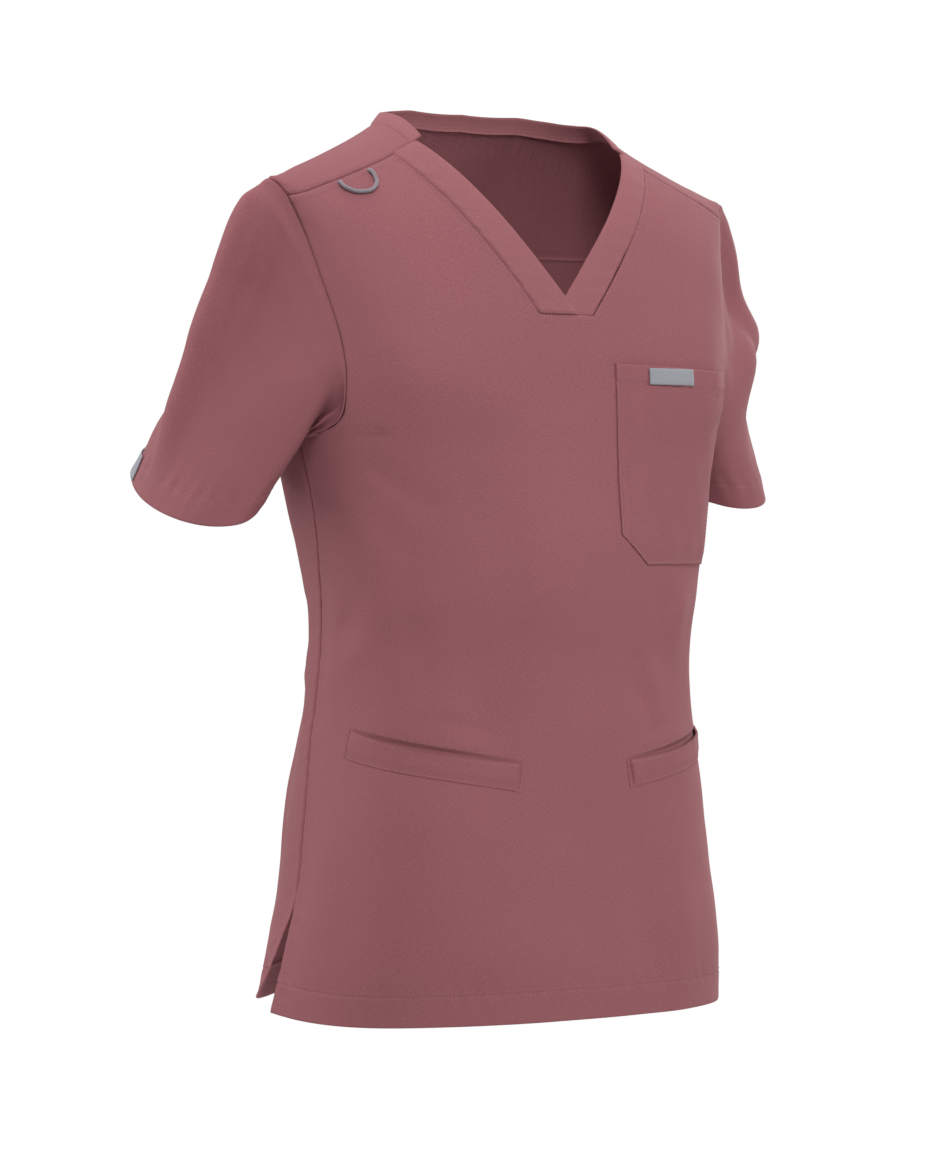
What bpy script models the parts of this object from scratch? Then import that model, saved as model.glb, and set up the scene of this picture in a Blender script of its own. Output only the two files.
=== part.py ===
"""V-neck scrub top in the shape it has when worn: walls of cloth over one body form.

Frame: +X to the wearer's left, -Y to the front, +Z up. The origin is midway between the two
points where the shoulders meet the neck, where the wearer's shoulders carry the garment.

A place on the form is (turn, level). turn counts quarter turns round the body from the front
centre: 0 front, 1 left side, -1 right side, 2 back. level is the height in metres up to the
chest line; above it the form closes over the shoulders and level 0 is the shoulder ridge.
"""
import bpy
import bmesh
import numpy as np

WALL = 0.0016          # cloth wall
GAP = 0.0005           # between two pieces at a seam
CHEST_LEVEL = -0.200   # top of the tube of sections
HEM_LEVEL = -0.684
VENT_LEVEL = -0.590    # top of the side vents
ROUND = 2.0            # squareness of the curve from chest over the shoulder
SEAM_REACH = 0.41      # forward shoulder seam, as a part of the way from ridge to chest
YOKE_BACK_Z = -0.095   # back yoke seam

RIDGE_COLUMNS = ("x", "y", "z")   # shoulder ridge, from the middle to the shoulder tip
RIDGE = (
    (0.0000, 0.0000, 0.0240),
    (0.0500, 0.0000, 0.0205),
    (0.0750, 0.0000, 0.0125),
    (0.0950, -0.0005, 0.0025),
    (0.1080, -0.0010, -0.0050),
    (0.1280, -0.0045, -0.0155),
    (0.1500, -0.0080, -0.0255),
    (0.1850, -0.0140, -0.0400),
    (0.2178, -0.0200, -0.0510),
)
SHOULDER_X = RIDGE[-1][0]
CHEST_MIDDLE = np.array([0.0, -0.015, CHEST_LEVEL])

BODY_COLUMNS = ("level", "half_width", "front", "back", "middle_y", "square", "side_turn")
BODY = (
    (-0.684, 0.1925, 0.1135, 0.1210, -0.0120, 2.30, 1.03),
    (-0.640, 0.1890, 0.1150, 0.1185, -0.0129, 2.30, 1.03),
    (-0.580, 0.1800, 0.1095, 0.1131, -0.0150, 2.35, 1.04),
    (-0.530, 0.1740, 0.1060, 0.1093, -0.0160, 2.40, 1.05),
    (-0.480, 0.1675, 0.1024, 0.1040, -0.0160, 2.40, 1.07),
    (-0.440, 0.1615, 0.0965, 0.0985, -0.0175, 2.40, 1.08),
    (-0.400, 0.1590, 0.0930, 0.0952, -0.0205, 2.50, 1.08),
    (-0.360, 0.1630, 0.0930, 0.0957, -0.0230, 2.60, 1.06),
    (-0.330, 0.1680, 0.0937, 0.0971, -0.0220, 2.70, 1.03),
    (-0.300, 0.1725, 0.0945, 0.1000, -0.0190, 2.80, 1.01),
    (-0.270, 0.1780, 0.0950, 0.1005, -0.0160, 2.90, 1.00),
    (-0.243, 0.1840, 0.0945, 0.1010, -0.0150, 3.00, 1.00),
    (-0.200, 0.1920, 0.0930, 0.1000, -0.0150, 3.20, 1.00),
)

ARMHOLE_COLUMNS = ("level", "front_turn", "back_turn")
ARMHOLE = (
    (-0.2430, 1.000, 1.000),
    (-0.2410, 0.840, 0.880),
    (-0.2360, 0.725, 0.800),
    (-0.2260, 0.660, 0.745),
    (-0.2000, 0.630, 0.715),
    (-0.1700, 0.642, 0.712),
    (-0.1300, 0.680, 0.728),
    (-0.0900, 0.722, 0.750),
    (-0.0550, 0.755, 0.772),
    (-0.0200, 0.782, 0.793),
    (-0.0035, 0.795, 0.800),
    (0.0000, 0.760, 0.760),
)

# soft folds of the worn cloth: troughs (-) and ridges (+) along the form
FOLD_COLUMNS = ("turn", "lean", "top", "bottom", "half_width", "depth")
FOLDS = (
    (-0.62, 0.06, -0.400, -0.700, 0.120, 0.0030),
    (-0.36, 0.10, -0.330, -0.640, 0.100, -0.0022),
    (0.36, -0.05, -0.520, -0.720, 0.080, 0.0030),
    (0.20, 0.02, -0.500, -0.720, 0.070, -0.0020),
    (0.60, 0.00, -0.345, -0.480, 0.060, 0.0014),
    (0.80, 0.00, -0.330, -0.560, 0.080, -0.0024),
    (-1.62, 0.04, -0.420, -0.720, 0.110, 0.0040),
    (-1.86, 0.02, -0.380, -0.700, 0.080, -0.0030),
    (1.60, -0.05, -0.400, -0.720, 0.120, 0.0040),
    (1.84, 0.00, -0.450, -0.720, 0.080, -0.0030),
    (1.30, 0.00, -0.330, -0.600, 0.090, -0.0030),
    (-1.30, 0.00, -0.360, -0.620, 0.090, -0.0025),
)

# neckline of the yoke, from the forward seam round the back: neck width and depth behind the ridge
NECK_TURN = 0.295
NECK_BACK_REACH = 0.44
NECK_SQUARE = 2.5
# V of the front, in the front view: half widths at heights
V_OUTER_TOP_X = 0.1187
V_OUTER_END = (0.0260, -0.1500)
V_INNER_TOP_X = 0.0965
V_INNER_END = (-0.0106, -0.1500)
V_STEPS = 8
DIVE_FROM, DIVE_LENGTH = 0.60, 0.30    # where the lower band goes behind the other, as shares
# back neckband: how far it leans in and stands up, along the neckline
BAND_COLUMNS = ("reach", "lean", "rise")
BAND = (
    (-0.41, 0.0092, 0.0060),
    (0.00, 0.0095, 0.0095),
    (0.25, 0.0060, 0.0115),
    (0.44, 0.0035, 0.0118),
)

# hem corners at the side vents: where they start along the panel, how far they stand out and up
FRONT_CORNER, FRONT_FLARE, FRONT_RISE = 0.55, 0.011, 0.007
BACK_CORNER, BACK_FLARE, BACK_SWING = 0.60, 0.016, 0.010
BACK_RISE, BACK_CORNER_RISE = 0.012, 0.006

BAND_START = 0.0006    # foot of the back neckband above the yoke's edge

# pieces that lie on the panels
PATCH = 0.0014         # pocket and welt cloth
LABEL = 0.0010
POCKET_TOP_Z = (-0.1865, -0.1915)    # inner corner, outer corner
POCKET_BOTTOM_Z = -0.340
POCKET_INNER_X = (0.0445, 0.0425)    # bottom, top
POCKET_OUTER_X = (0.1530, 0.1700)
POCKET_CUT = (0.22, 0.0225)          # cut corner: part of the width, height
POCKET_LIFT = 0.0008                 # the mouth stands off a little in the middle
LABEL_X = (0.0710, 0.1145)
LABEL_Z = (-0.2020, -0.1895)
WELT_TURNS = (0.182, 0.800)
WELT_TOP_Z = (-0.4895, -0.4635)
WELT_HEIGHT = 0.0210
WELT_SKEW = 0.012
WELT_LIFT = 0.0018
PATCH_GAP = 0.0007     # under a piece that lies on a panel
LOOP_CORD = 0.0030
LOOP_LINE = ((0.1685, -0.0535), (0.1677, -0.0570), (0.1645, -0.0602), (0.1585, -0.0622),
             (0.1515, -0.0617), (0.1455, -0.0587), (0.1420, -0.0540), (0.1415, -0.0485),
             (0.1430, -0.0440))      # x and z of the cord's middle in the front view
SLEEVE_SHARES = np.array([0, 0.06, 0.14, 0.24, 0.35, 0.47, 0.59, 0.71, 0.82, 0.91, 1.0])
LEAVE = 0.42           # how far the sleeve keeps the body's direction as it leaves the armhole
ARRIVE = 0.95          # and how far it runs straight into the cuff
LAP_FROM = 0.62         # the sleeve laps over the body where it turns back over the armhole seam
LAP_FADE = 0.35
LAP_TOP_Z = -0.060
LAP_TOP_FADE = 0.010
SLEEVE_GAP = 0.0008     # from the panel's edge line to the sleeve's
BESIDE = 0.06           # a point this far out from the middle of the armhole lies within the sleeve
SLEEVE_TOP_LINE = 14    # line of the sleeve that leaves the armhole on the shoulder ridge
TAB_SHARES = np.array([0.900, 0.945, 0.990])
TAB_RING = (17, 19)    # lines of the sleeve that the tab spans

# cuffs, given as on the right side: x and y half sizes, and rise of the cuff's plane per metre
CUFF_COLUMNS = ("side", "x", "y", "z", "half_x", "half_y", "tilt_x", "tilt_y")
CUFFS = (
    (1, -0.2425, 0.0370, -0.2820, 0.0435, 0.0590, 0.18, 0.48),
    (-1, -0.2425, 0.0370, -0.2710, 0.0435, 0.0590, -0.10, 0.42),
)
# folds of the sleeves: angle round the sleeve (0 at the body, 90 in front, 180 outside)
SLEEVE_FOLD_COLUMNS = ("side", "angle", "share", "half_angle", "half_share", "depth")
SLEEVE_FOLDS = (
    (1, 48, 0.30, 22, 0.22, -0.0060),
    (1, 80, 0.42, 24, 0.24, 0.0040),
    (1, 215, 0.40, 30, 0.08, 0.0030),
    (-1, 165, 0.40, 60, 0.15, 0.0170),
    (-1, 165, 0.74, 50, 0.14, -0.0030),
    (-1, 60, 0.32, 24, 0.22, -0.0050),
)

ROSE = (0.305, 0.122, 0.135, 1.0)
GREY = (0.400, 0.410, 0.450, 1.0)


def smooth(x, xs, ys):
    """Monotone cubic through the knots of a table, as in hand-drawn French curves."""
    xs = np.asarray(xs, float)
    ys = np.asarray(ys, float)
    step = np.diff(xs)
    rise = np.diff(ys) / step
    slope = np.zeros_like(ys)
    both = rise[:-1] * rise[1:] > 0
    mean = 2 * rise[:-1] * rise[1:] / np.where(both, rise[:-1] + rise[1:], 1.0)
    slope[1:-1] = np.where(both, mean, 0.0)
    slope[0] = rise[0]
    x = np.clip(x, xs[0], xs[-1])
    k = np.clip(np.searchsorted(xs, x) - 1, 0, len(step) - 1)
    t = (x - xs[k]) / step[k]
    return ((2 * t**3 - 3 * t**2 + 1) * ys[k] + (t**3 - 2 * t**2 + t) * step[k] * slope[k]
            + (3 * t**2 - 2 * t**3) * ys[k + 1] + (t**3 - t**2) * step[k] * slope[k + 1])


def body(level, column):
    """One size of the body form at a level, from the table of sections."""
    k = BODY_COLUMNS.index(column)
    return smooth(level, [row[0] for row in BODY], [row[k] for row in BODY])


def fold_out(turn, level):
    """How far the soft folds carry the cloth out of the plain form."""
    out = np.zeros(np.broadcast(turn, level).shape)
    for middle, lean, top, bottom, half, depth in FOLDS:
        along = np.clip((top - level) / (top - bottom), 0, 1)
        across = (turn - middle - lean * along) / half
        for whole_turn in (-4, 0, 4):
            out += depth * np.exp(-(across + whole_turn / half) ** 2) * np.sin(np.pi * along)
    return out


def section(turn, level):
    """Point of the tube at a level: a squared ellipse with its own front and back depth."""
    angle = turn * np.pi / 2
    square = body(level, "square")
    reach = (abs(np.sin(angle)) ** square + abs(np.cos(angle)) ** square) ** (-1 / square)
    depth = np.where(np.cos(angle) > 0, body(level, "front"), body(level, "back"))
    out = fold_out(turn, level)
    x = (body(level, "half_width") + out) * reach * np.sin(angle)
    y = body(level, "middle_y") - (depth + out) * reach * np.cos(angle)
    return x, y


def cap(turn, reach):
    """Point above the chest line; reach is 1 on the chest line and 0 on the shoulder ridge."""
    x1, y1 = section(turn, CHEST_LEVEL + 0 * turn)
    ridge_x = x1 * SHOULDER_X / body(CHEST_LEVEL, "half_width")
    ridge_y = smooth(abs(ridge_x), [row[0] for row in RIDGE], [row[1] for row in RIDGE])
    ridge_z = smooth(abs(ridge_x), [row[0] for row in RIDGE], [row[2] for row in RIDGE])
    height = (1 - np.clip(reach, 0, 1) ** ROUND) ** (1 / ROUND)
    return np.stack(np.broadcast_arrays(ridge_x + (x1 - ridge_x) * reach,
                                        ridge_y + (y1 - ridge_y) * reach,
                                        CHEST_LEVEL + (ridge_z - CHEST_LEVEL) * height), -1)


def form(turn, level):
    """Point of the whole form at (turn, level)."""
    turn, level = np.broadcast_arrays(np.asarray(turn, float), np.asarray(level, float))
    x, y = section(turn, np.minimum(level, CHEST_LEVEL))
    tube = np.stack([x, y, level], -1)
    height = np.clip(1 - level / CHEST_LEVEL, 0, 1)
    upper = cap(turn, (1 - height**ROUND) ** (1 / ROUND))
    return np.where((level > CHEST_LEVEL)[..., None], upper, tube)


def over_shoulder(turn, reach):
    """Form across the ridge: reach runs from -1 on the front chest line to 1 on the back one."""
    behind = np.sign(turn + 1e-12) * (2 - abs(turn))
    return np.where((reach < 0)[..., None], cap(turn, abs(reach)), cap(behind, abs(reach)))


def normals(surface, u, v, outward=1.0):
    """Unit normals of a surface(u, v) by small steps."""
    e = 1e-4
    du = surface(u + e, v) - surface(u - e, v)
    dv = surface(u, v + e) - surface(u, v - e)
    n = np.cross(du, dv) * outward
    return n / np.linalg.norm(n, axis=-1, keepdims=True)


def form_normals(turn, level):
    """Outward normals of the form."""
    turn, level = np.broadcast_arrays(np.asarray(turn, float), np.asarray(level, float))
    return normals(form, turn, np.minimum(level, -2e-4))


def turn_at(x, z):
    """Turn of the front point with this x at this height, by halving."""
    x, z = np.broadcast_arrays(np.asarray(x, float), np.asarray(z, float))
    low, high = np.zeros(x.shape), np.full(x.shape, 1.0)
    for _ in range(40):
        middle = (low + high) / 2
        point = form(middle, level_at(middle, z))
        inside = point[..., 0] < abs(x)
        low, high = np.where(inside, middle, low), np.where(inside, high, middle)
    return np.sign(x) * low


def level_at(turn, z):
    """Level whose point at this turn has the height z."""
    top = cap(turn, 0 * turn)[..., 2]
    share = (z - CHEST_LEVEL) / (top - CHEST_LEVEL)
    return np.where(z > CHEST_LEVEL, CHEST_LEVEL * (1 - share), z)


def front_chart(x, z):
    """(turn, level) of a point of the front given in the front view."""
    turn = turn_at(x, z)
    return turn, level_at(turn, np.asarray(z, float))


def pull_in(points, ends=(True, True, True, True), amount=GAP / 2):
    """Edges of a grid drawn in by half a seam gap. ends: first row, last row, first, last column."""
    p = points.copy()
    for axis, (first, last) in enumerate((ends[:2], ends[2:])):
        grid = np.moveaxis(points, axis, 0)
        out = np.moveaxis(p, axis, 0)
        for edge, inner, wanted in ((0, 1, first), (-1, -2, last)):
            if not wanted:
                continue
            line = grid[edge]
            along = np.gradient(line, axis=0)
            along /= np.linalg.norm(along, axis=-1, keepdims=True) + 1e-12
            inward = grid[inner] - line
            inward = inward - (inward * along).sum(-1, keepdims=True) * along
            inward /= np.linalg.norm(inward, axis=-1, keepdims=True) + 1e-12
            out[edge] += inward * amount
    return p


def wall(name, points, normal, colour, thickness=WALL):
    """Closed cloth wall: a grid of middle points, with half the thickness on each side."""
    rows, columns = points.shape[:2]
    outer = points + normal * thickness / 2
    inner = points - normal * thickness / 2
    vertices = np.concatenate([outer.reshape(-1, 3), inner.reshape(-1, 3)])
    half = rows * columns
    index = np.arange(half).reshape(rows, columns)
    faces = []
    for i in range(rows - 1):
        for j in range(columns - 1):
            a, b, c, d = index[i, j], index[i, j + 1], index[i + 1, j + 1], index[i + 1, j]
            faces.append((a, b, c, d))
            faces.append((d + half, c + half, b + half, a + half))
    for rim in (index[0], index[-1], index[:, 0], index[:, -1]):
        faces += [(a, b, b + half, a + half) for a, b in zip(rim[:-1], rim[1:])]
    return solid(name, vertices, faces, colour)


def solid(name, vertices, faces, colour):
    """Closed mesh object with outward faces and its own material."""
    mesh = bpy.data.meshes.new(name)
    mesh.from_pydata([tuple(v) for v in vertices], [], [tuple(int(i) for i in f) for f in faces])
    bm = bmesh.new()
    bm.from_mesh(mesh)
    bmesh.ops.recalc_face_normals(bm, faces=bm.faces)
    bm.to_mesh(mesh)
    bm.free()
    mesh.shade_smooth()
    mesh.set_sharp_from_angle(angle=0.8)
    material = bpy.data.materials.new(name + "_cloth")
    material.use_nodes = True
    shader = material.node_tree.nodes["Principled BSDF"]
    shader.inputs["Base Color"].default_value = colour
    shader.inputs["Roughness"].default_value = 0.85
    shader.inputs["Metallic"].default_value = 0.0
    mesh.materials.append(material)
    item = bpy.data.objects.new(name, mesh)
    bpy.context.scene.collection.objects.link(item)
    return item


# ---- where the seams run -------------------------------------------------------------------

def armhole_turn(level, side):
    """Turn of the armhole edge at a level; side is front_turn or back_turn."""
    k = ARMHOLE_COLUMNS.index(side)
    return smooth(level, [row[0] for row in ARMHOLE], [row[k] for row in ARMHOLE])


def reach_level(reach):
    """Level of a place above the chest given by its reach."""
    return CHEST_LEVEL * (1 - (1 - abs(reach) ** ROUND) ** (1 / ROUND))


ARM_LEVELS = np.array([-0.243, -0.2415, -0.238, -0.231, -0.218, -0.200, -0.178, -0.150,
                       -0.120, -0.090, -0.060])
LOWER_LEVELS = np.array([-0.684, -0.664, -0.642, -0.616, -0.590, -0.560, -0.525, -0.490,
                         -0.455, -0.420, -0.385, -0.350, -0.315, -0.285, -0.262])
SEAM_LEVEL = reach_level(SEAM_REACH)
YOKE_ROWS = 6          # from the neckline to the armhole
YOKE_ARM_REACHES = np.array([-SEAM_REACH, -0.33, -0.18, 0.0, 0.18, 0.36, 0.54])


def back_seam_level(turn_from_back):
    """Level of the back yoke seam, which is level with the floor; turn counts from the back."""
    turn = 2 - abs(turn_from_back)
    return level_at(turn, YOKE_BACK_Z + 0 * turn)


def neck_line(count):
    """Neckline of the yoke from the left forward seam round the back: (turn, reach) arrays."""
    forward = np.linspace(-SEAM_REACH, 0, 5)[:-1]
    angle = np.linspace(0, np.pi / 2, count)
    turn = NECK_TURN * np.cos(angle) ** (2 / NECK_SQUARE)
    reach = NECK_BACK_REACH * np.sin(angle) ** (2 / NECK_SQUARE)
    lead = np.full(4, NECK_TURN)
    return np.concatenate([lead, turn]), np.concatenate([forward, reach])


def mirror_round(turn, reach):
    """Left half of a line carried on over the back centre to the right half."""
    return np.concatenate([turn, -turn[:-1][::-1]]), np.concatenate([reach, reach[:-1][::-1]])


# ---- panels --------------------------------------------------------------------------------

def seam_turn(x):
    """Turn of the forward shoulder seam at this x, by halving."""
    low, high = 0.0, 1.0
    for _ in range(40):
        middle = (low + high) / 2
        if form(middle, SEAM_LEVEL)[0] < x:
            low = middle
        else:
            high = middle
    return low


def v_line(top_x, end, share):
    """(turn, level) along a straight edge of the V in the front view; share 0 end, 1 top."""
    top = form(seam_turn(top_x), SEAM_LEVEL)
    return front_chart(end[0] + (top[0] - end[0]) * share, end[1] + (top[2] - end[1]) * share)


def make_front():
    """Front panel: hem, side seams, armholes, forward seams and the V."""
    tip = float(armhole_turn(SEAM_LEVEL, "front_turn"))
    v_turn, v_lev = v_line(V_OUTER_TOP_X, V_OUTER_END, np.linspace(0, 1, V_STEPS + 1))
    middle = np.array([0, v_turn[0] / 2])
    turns = np.concatenate([middle, v_turn, np.linspace(v_turn[-1], tip, YOKE_ROWS + 1)[1:]])
    tops = np.concatenate([level_at(middle, V_OUTER_END[1]), v_lev, [SEAM_LEVEL] * YOKE_ROWS])
    turns = np.concatenate([-turns[:0:-1], turns])
    tops = np.concatenate([tops[:0:-1], tops])
    u = turns / tip
    base = ARM_LEVELS[0]
    edge_levels = np.concatenate([ARM_LEVELS, [SEAM_LEVEL]])
    share = (edge_levels - base) / (SEAM_LEVEL - base)
    upper_levels = base + (tops[None, :] - base) * share[:, None]
    upper_turns = u[None, :] * armhole_turn(edge_levels, "front_turn")[:, None]
    lower_turns = u[None, :] * body(LOWER_LEVELS, "side_turn")[:, None]
    lower_levels = np.repeat(LOWER_LEVELS[:, None], len(u), 1)
    turn = np.concatenate([lower_turns, upper_turns])
    level = np.concatenate([lower_levels, upper_levels])
    points = form(turn, level)
    normal = form_normals(turn, level)
    below = np.clip((VENT_LEVEL - level) / (VENT_LEVEL - HEM_LEVEL), 0, 1)
    side = np.clip((abs(u)[None, :] - FRONT_CORNER) / (1 - FRONT_CORNER), 0, 1)
    points += normal * (FRONT_FLARE * side**2 * below**1.5)[..., None]
    points[..., 2] += FRONT_RISE * side**2 * below
    return wall("front", pull_in(points), normal, ROSE)


def back_arm_end():
    """Turn (from the back centre) and level where the armhole meets the back yoke seam."""
    turn = 0.8
    for _ in range(30):
        level = float(back_seam_level(np.array(turn)))
        turn = float(armhole_turn(level, "back_turn"))
    return turn, level


BACK_TOP_COLUMNS = 10


def make_back():
    """Back panel below the yoke, with flaps that flare out at the side vents."""
    tip, tip_level = back_arm_end()
    turns = np.linspace(0, tip, BACK_TOP_COLUMNS + 1)
    turns = np.concatenate([-turns[:0:-1], turns])
    u = turns / tip
    tops = back_seam_level(turns)
    base = ARM_LEVELS[0]
    edge_levels = np.concatenate([ARM_LEVELS[ARM_LEVELS < tip_level - 0.012], [tip_level]])
    share = (edge_levels - base) / (tip_level - base)
    upper_levels = base + (tops[None, :] - base) * share[:, None]
    upper_turns = u[None, :] * armhole_turn(edge_levels, "back_turn")[:, None]
    lower_turns = u[None, :] * (2 - body(LOWER_LEVELS, "side_turn"))[:, None]
    lower_levels = np.repeat(LOWER_LEVELS[:, None], len(u), 1)
    from_back = np.concatenate([lower_turns, upper_turns])
    level = np.concatenate([lower_levels, upper_levels])
    turn = 2 - from_back
    points = form(turn, level)
    normal = form_normals(turn, level)
    below = np.clip((VENT_LEVEL - level) / (VENT_LEVEL - HEM_LEVEL), 0, 1)
    side = np.clip((abs(u)[None, :] - BACK_CORNER) / (1 - BACK_CORNER), 0, 1)
    flare = side**2 * below**1.3
    points += normal * BACK_FLARE * flare[..., None]
    points[..., 1] += BACK_SWING * flare
    points[..., 2] += BACK_RISE * below + BACK_CORNER_RISE * flare
    return wall("back", pull_in(points), normal, ROSE)


def yoke_lines():
    """Neckline and outer line of the yoke, sampled together from the left forward seam round."""
    tip, tip_level = back_arm_end()
    reach_end = float((1 - (1 - tip_level / CHEST_LEVEL) ** ROUND) ** (1 / ROUND))
    reaches = np.concatenate([YOKE_ARM_REACHES[:-1], [reach_end * 0.82, reach_end]])
    side = np.where(reaches < 0, armhole_turn(reach_level(reaches), "front_turn"),
                    armhole_turn(reach_level(reaches), "back_turn"))
    back_turns = np.linspace(tip, 0, BACK_TOP_COLUMNS + 1)[1:]
    back_levels = back_seam_level(back_turns)
    back_reach = (1 - (1 - back_levels / CHEST_LEVEL) ** ROUND) ** (1 / ROUND)
    outer_turn = np.concatenate([side, back_turns])
    outer_reach = np.concatenate([reaches, back_reach])
    half = len(outer_turn)
    inner_turn, inner_reach = neck_line(half - 4)
    return mirror_round(inner_turn, inner_reach), mirror_round(outer_turn, outer_reach)


def yoke_grid():
    """Yoke as a band from the neckline to the armholes and the back seam."""
    (inner_turn, inner_reach), (outer_turn, outer_reach) = yoke_lines()
    top = seam_turn(V_OUTER_TOP_X)
    tip = float(armhole_turn(SEAM_LEVEL, "front_turn"))
    share = np.linspace(0, 1, YOKE_ROWS + 3)[None, :]
    turn = inner_turn[:, None] + (outer_turn - inner_turn)[:, None] * share
    reach = inner_reach[:, None] + (outer_reach - inner_reach)[:, None] * share
    seam = np.concatenate([np.linspace(NECK_TURN, top, 3)[:-1],
                           np.linspace(top, tip, YOKE_ROWS + 1)])
    turn[0], turn[-1] = seam, -seam
    # crossing the back centre, the chart's sign changes side
    side = np.where(np.arange(len(turn))[:, None] <= (len(turn) - 1) / 2, 1.0, -1.0)
    return side * abs(turn), reach


def make_yoke():
    """Yoke over both shoulders and the upper back."""
    turn, reach = yoke_grid()
    points = over_shoulder(turn, reach)
    normal = normals(over_shoulder, turn, reach)
    centre = (len(turn) - 1) // 2
    mid = abs(turn) < 1e-6
    points[mid] = over_shoulder(np.full(turn.shape, 1e-9), reach)[mid]
    normal[centre] = np.stack([0 * reach[centre],
                               *np.moveaxis(normal[centre - 1], -1, 0)[1:]], -1)
    normal[centre] /= np.linalg.norm(normal[centre], axis=-1, keepdims=True)
    normal *= np.sign((normal * (points - CHEST_MIDDLE)).sum(-1, keepdims=True))
    return wall("yoke", pull_in(points), normal, ROSE)


def make_neck_band(name, side, under):
    """Front neckband: a strip of the form between the outer and the inner edge of the V.

    side is -1 for the wearer's right. under passes its lower end behind the other band.
    """
    share = np.linspace(0, 1, V_STEPS + 1)
    rows = []
    for across in np.linspace(0, 1, 5):
        x_end = V_OUTER_END[0] + (V_INNER_END[0] - V_OUTER_END[0]) * across
        x_top = V_OUTER_TOP_X + (V_INNER_TOP_X - V_OUTER_TOP_X) * across
        rows.append(v_line(x_top, (x_end, V_OUTER_END[1]), share))
    turn = np.stack([row[0] for row in rows]) * side
    level = np.stack([row[1] for row in rows])
    points = form(turn, level)
    normal = form_normals(turn, level)
    dive = np.clip((DIVE_FROM - share) / DIVE_LENGTH, 0, 1)
    dive = dive * dive * (3 - 2 * dive) * under
    points -= normal * dive[None, :, None]
    return wall(name, pull_in(points), normal, ROSE)


def make_back_neckband():
    """Narrow band that stands up from the yoke's neckline, from seam to seam round the back."""
    (turn, reach), _ = yoke_lines()
    place = over_shoulder(turn, reach)
    along = np.gradient(place, axis=0)
    inward = np.stack([along[:, 1], -along[:, 0], 0 * turn], -1)
    inward *= np.sign((inward * -(place - [0, -0.01, 0])).sum(-1))[:, None]
    inward /= np.linalg.norm(inward, axis=-1, keepdims=True)
    lean = smooth(reach, [row[0] for row in BAND], [row[1] for row in BAND])
    rise = smooth(reach, [row[0] for row in BAND], [row[2] for row in BAND])
    step = inward * lean[:, None] + np.stack([0 * lean, 0 * lean, rise], -1)
    normal = np.cross(along, step)
    normal *= -np.sign((normal * inward).sum(-1))[:, None]
    normal /= np.linalg.norm(normal, axis=-1, keepdims=True)
    start = BAND_START / np.linalg.norm(step, axis=-1)
    share = np.stack([start + (1 - start) * k for k in (0, 0.5, 1)])
    points = place[None] + step[None] * share[..., None]
    return wall("back_neckband", pull_in(points, (False, False, True, True), GAP), normal, ROSE)


def armhole_ring():
    """Edge of the right armhole from the armpit up the front, over and down the back."""
    front_turn = armhole_turn(ARM_LEVELS, "front_turn")
    front = form(front_turn, ARM_LEVELS), form_normals(front_turn, ARM_LEVELS)
    _, (outer_turn, outer_reach) = yoke_lines()
    count = len(YOKE_ARM_REACHES) + 1
    turn, reach = outer_turn[:count], outer_reach[:count]
    over = over_shoulder(turn, reach), normals(over_shoulder, turn, reach)
    tip, tip_level = back_arm_end()
    levels = ARM_LEVELS[ARM_LEVELS < tip_level - 0.012][:0:-1]
    turns = 2 - armhole_turn(levels, "back_turn")
    behind = form(turns, levels), form_normals(turns, levels)
    points = np.concatenate([front[0], over[0], behind[0]])
    normal = np.concatenate([front[1], over[1], behind[1]])
    mirror = np.array([-1.0, 1.0, 1.0])
    return points * mirror, normal * mirror


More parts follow.
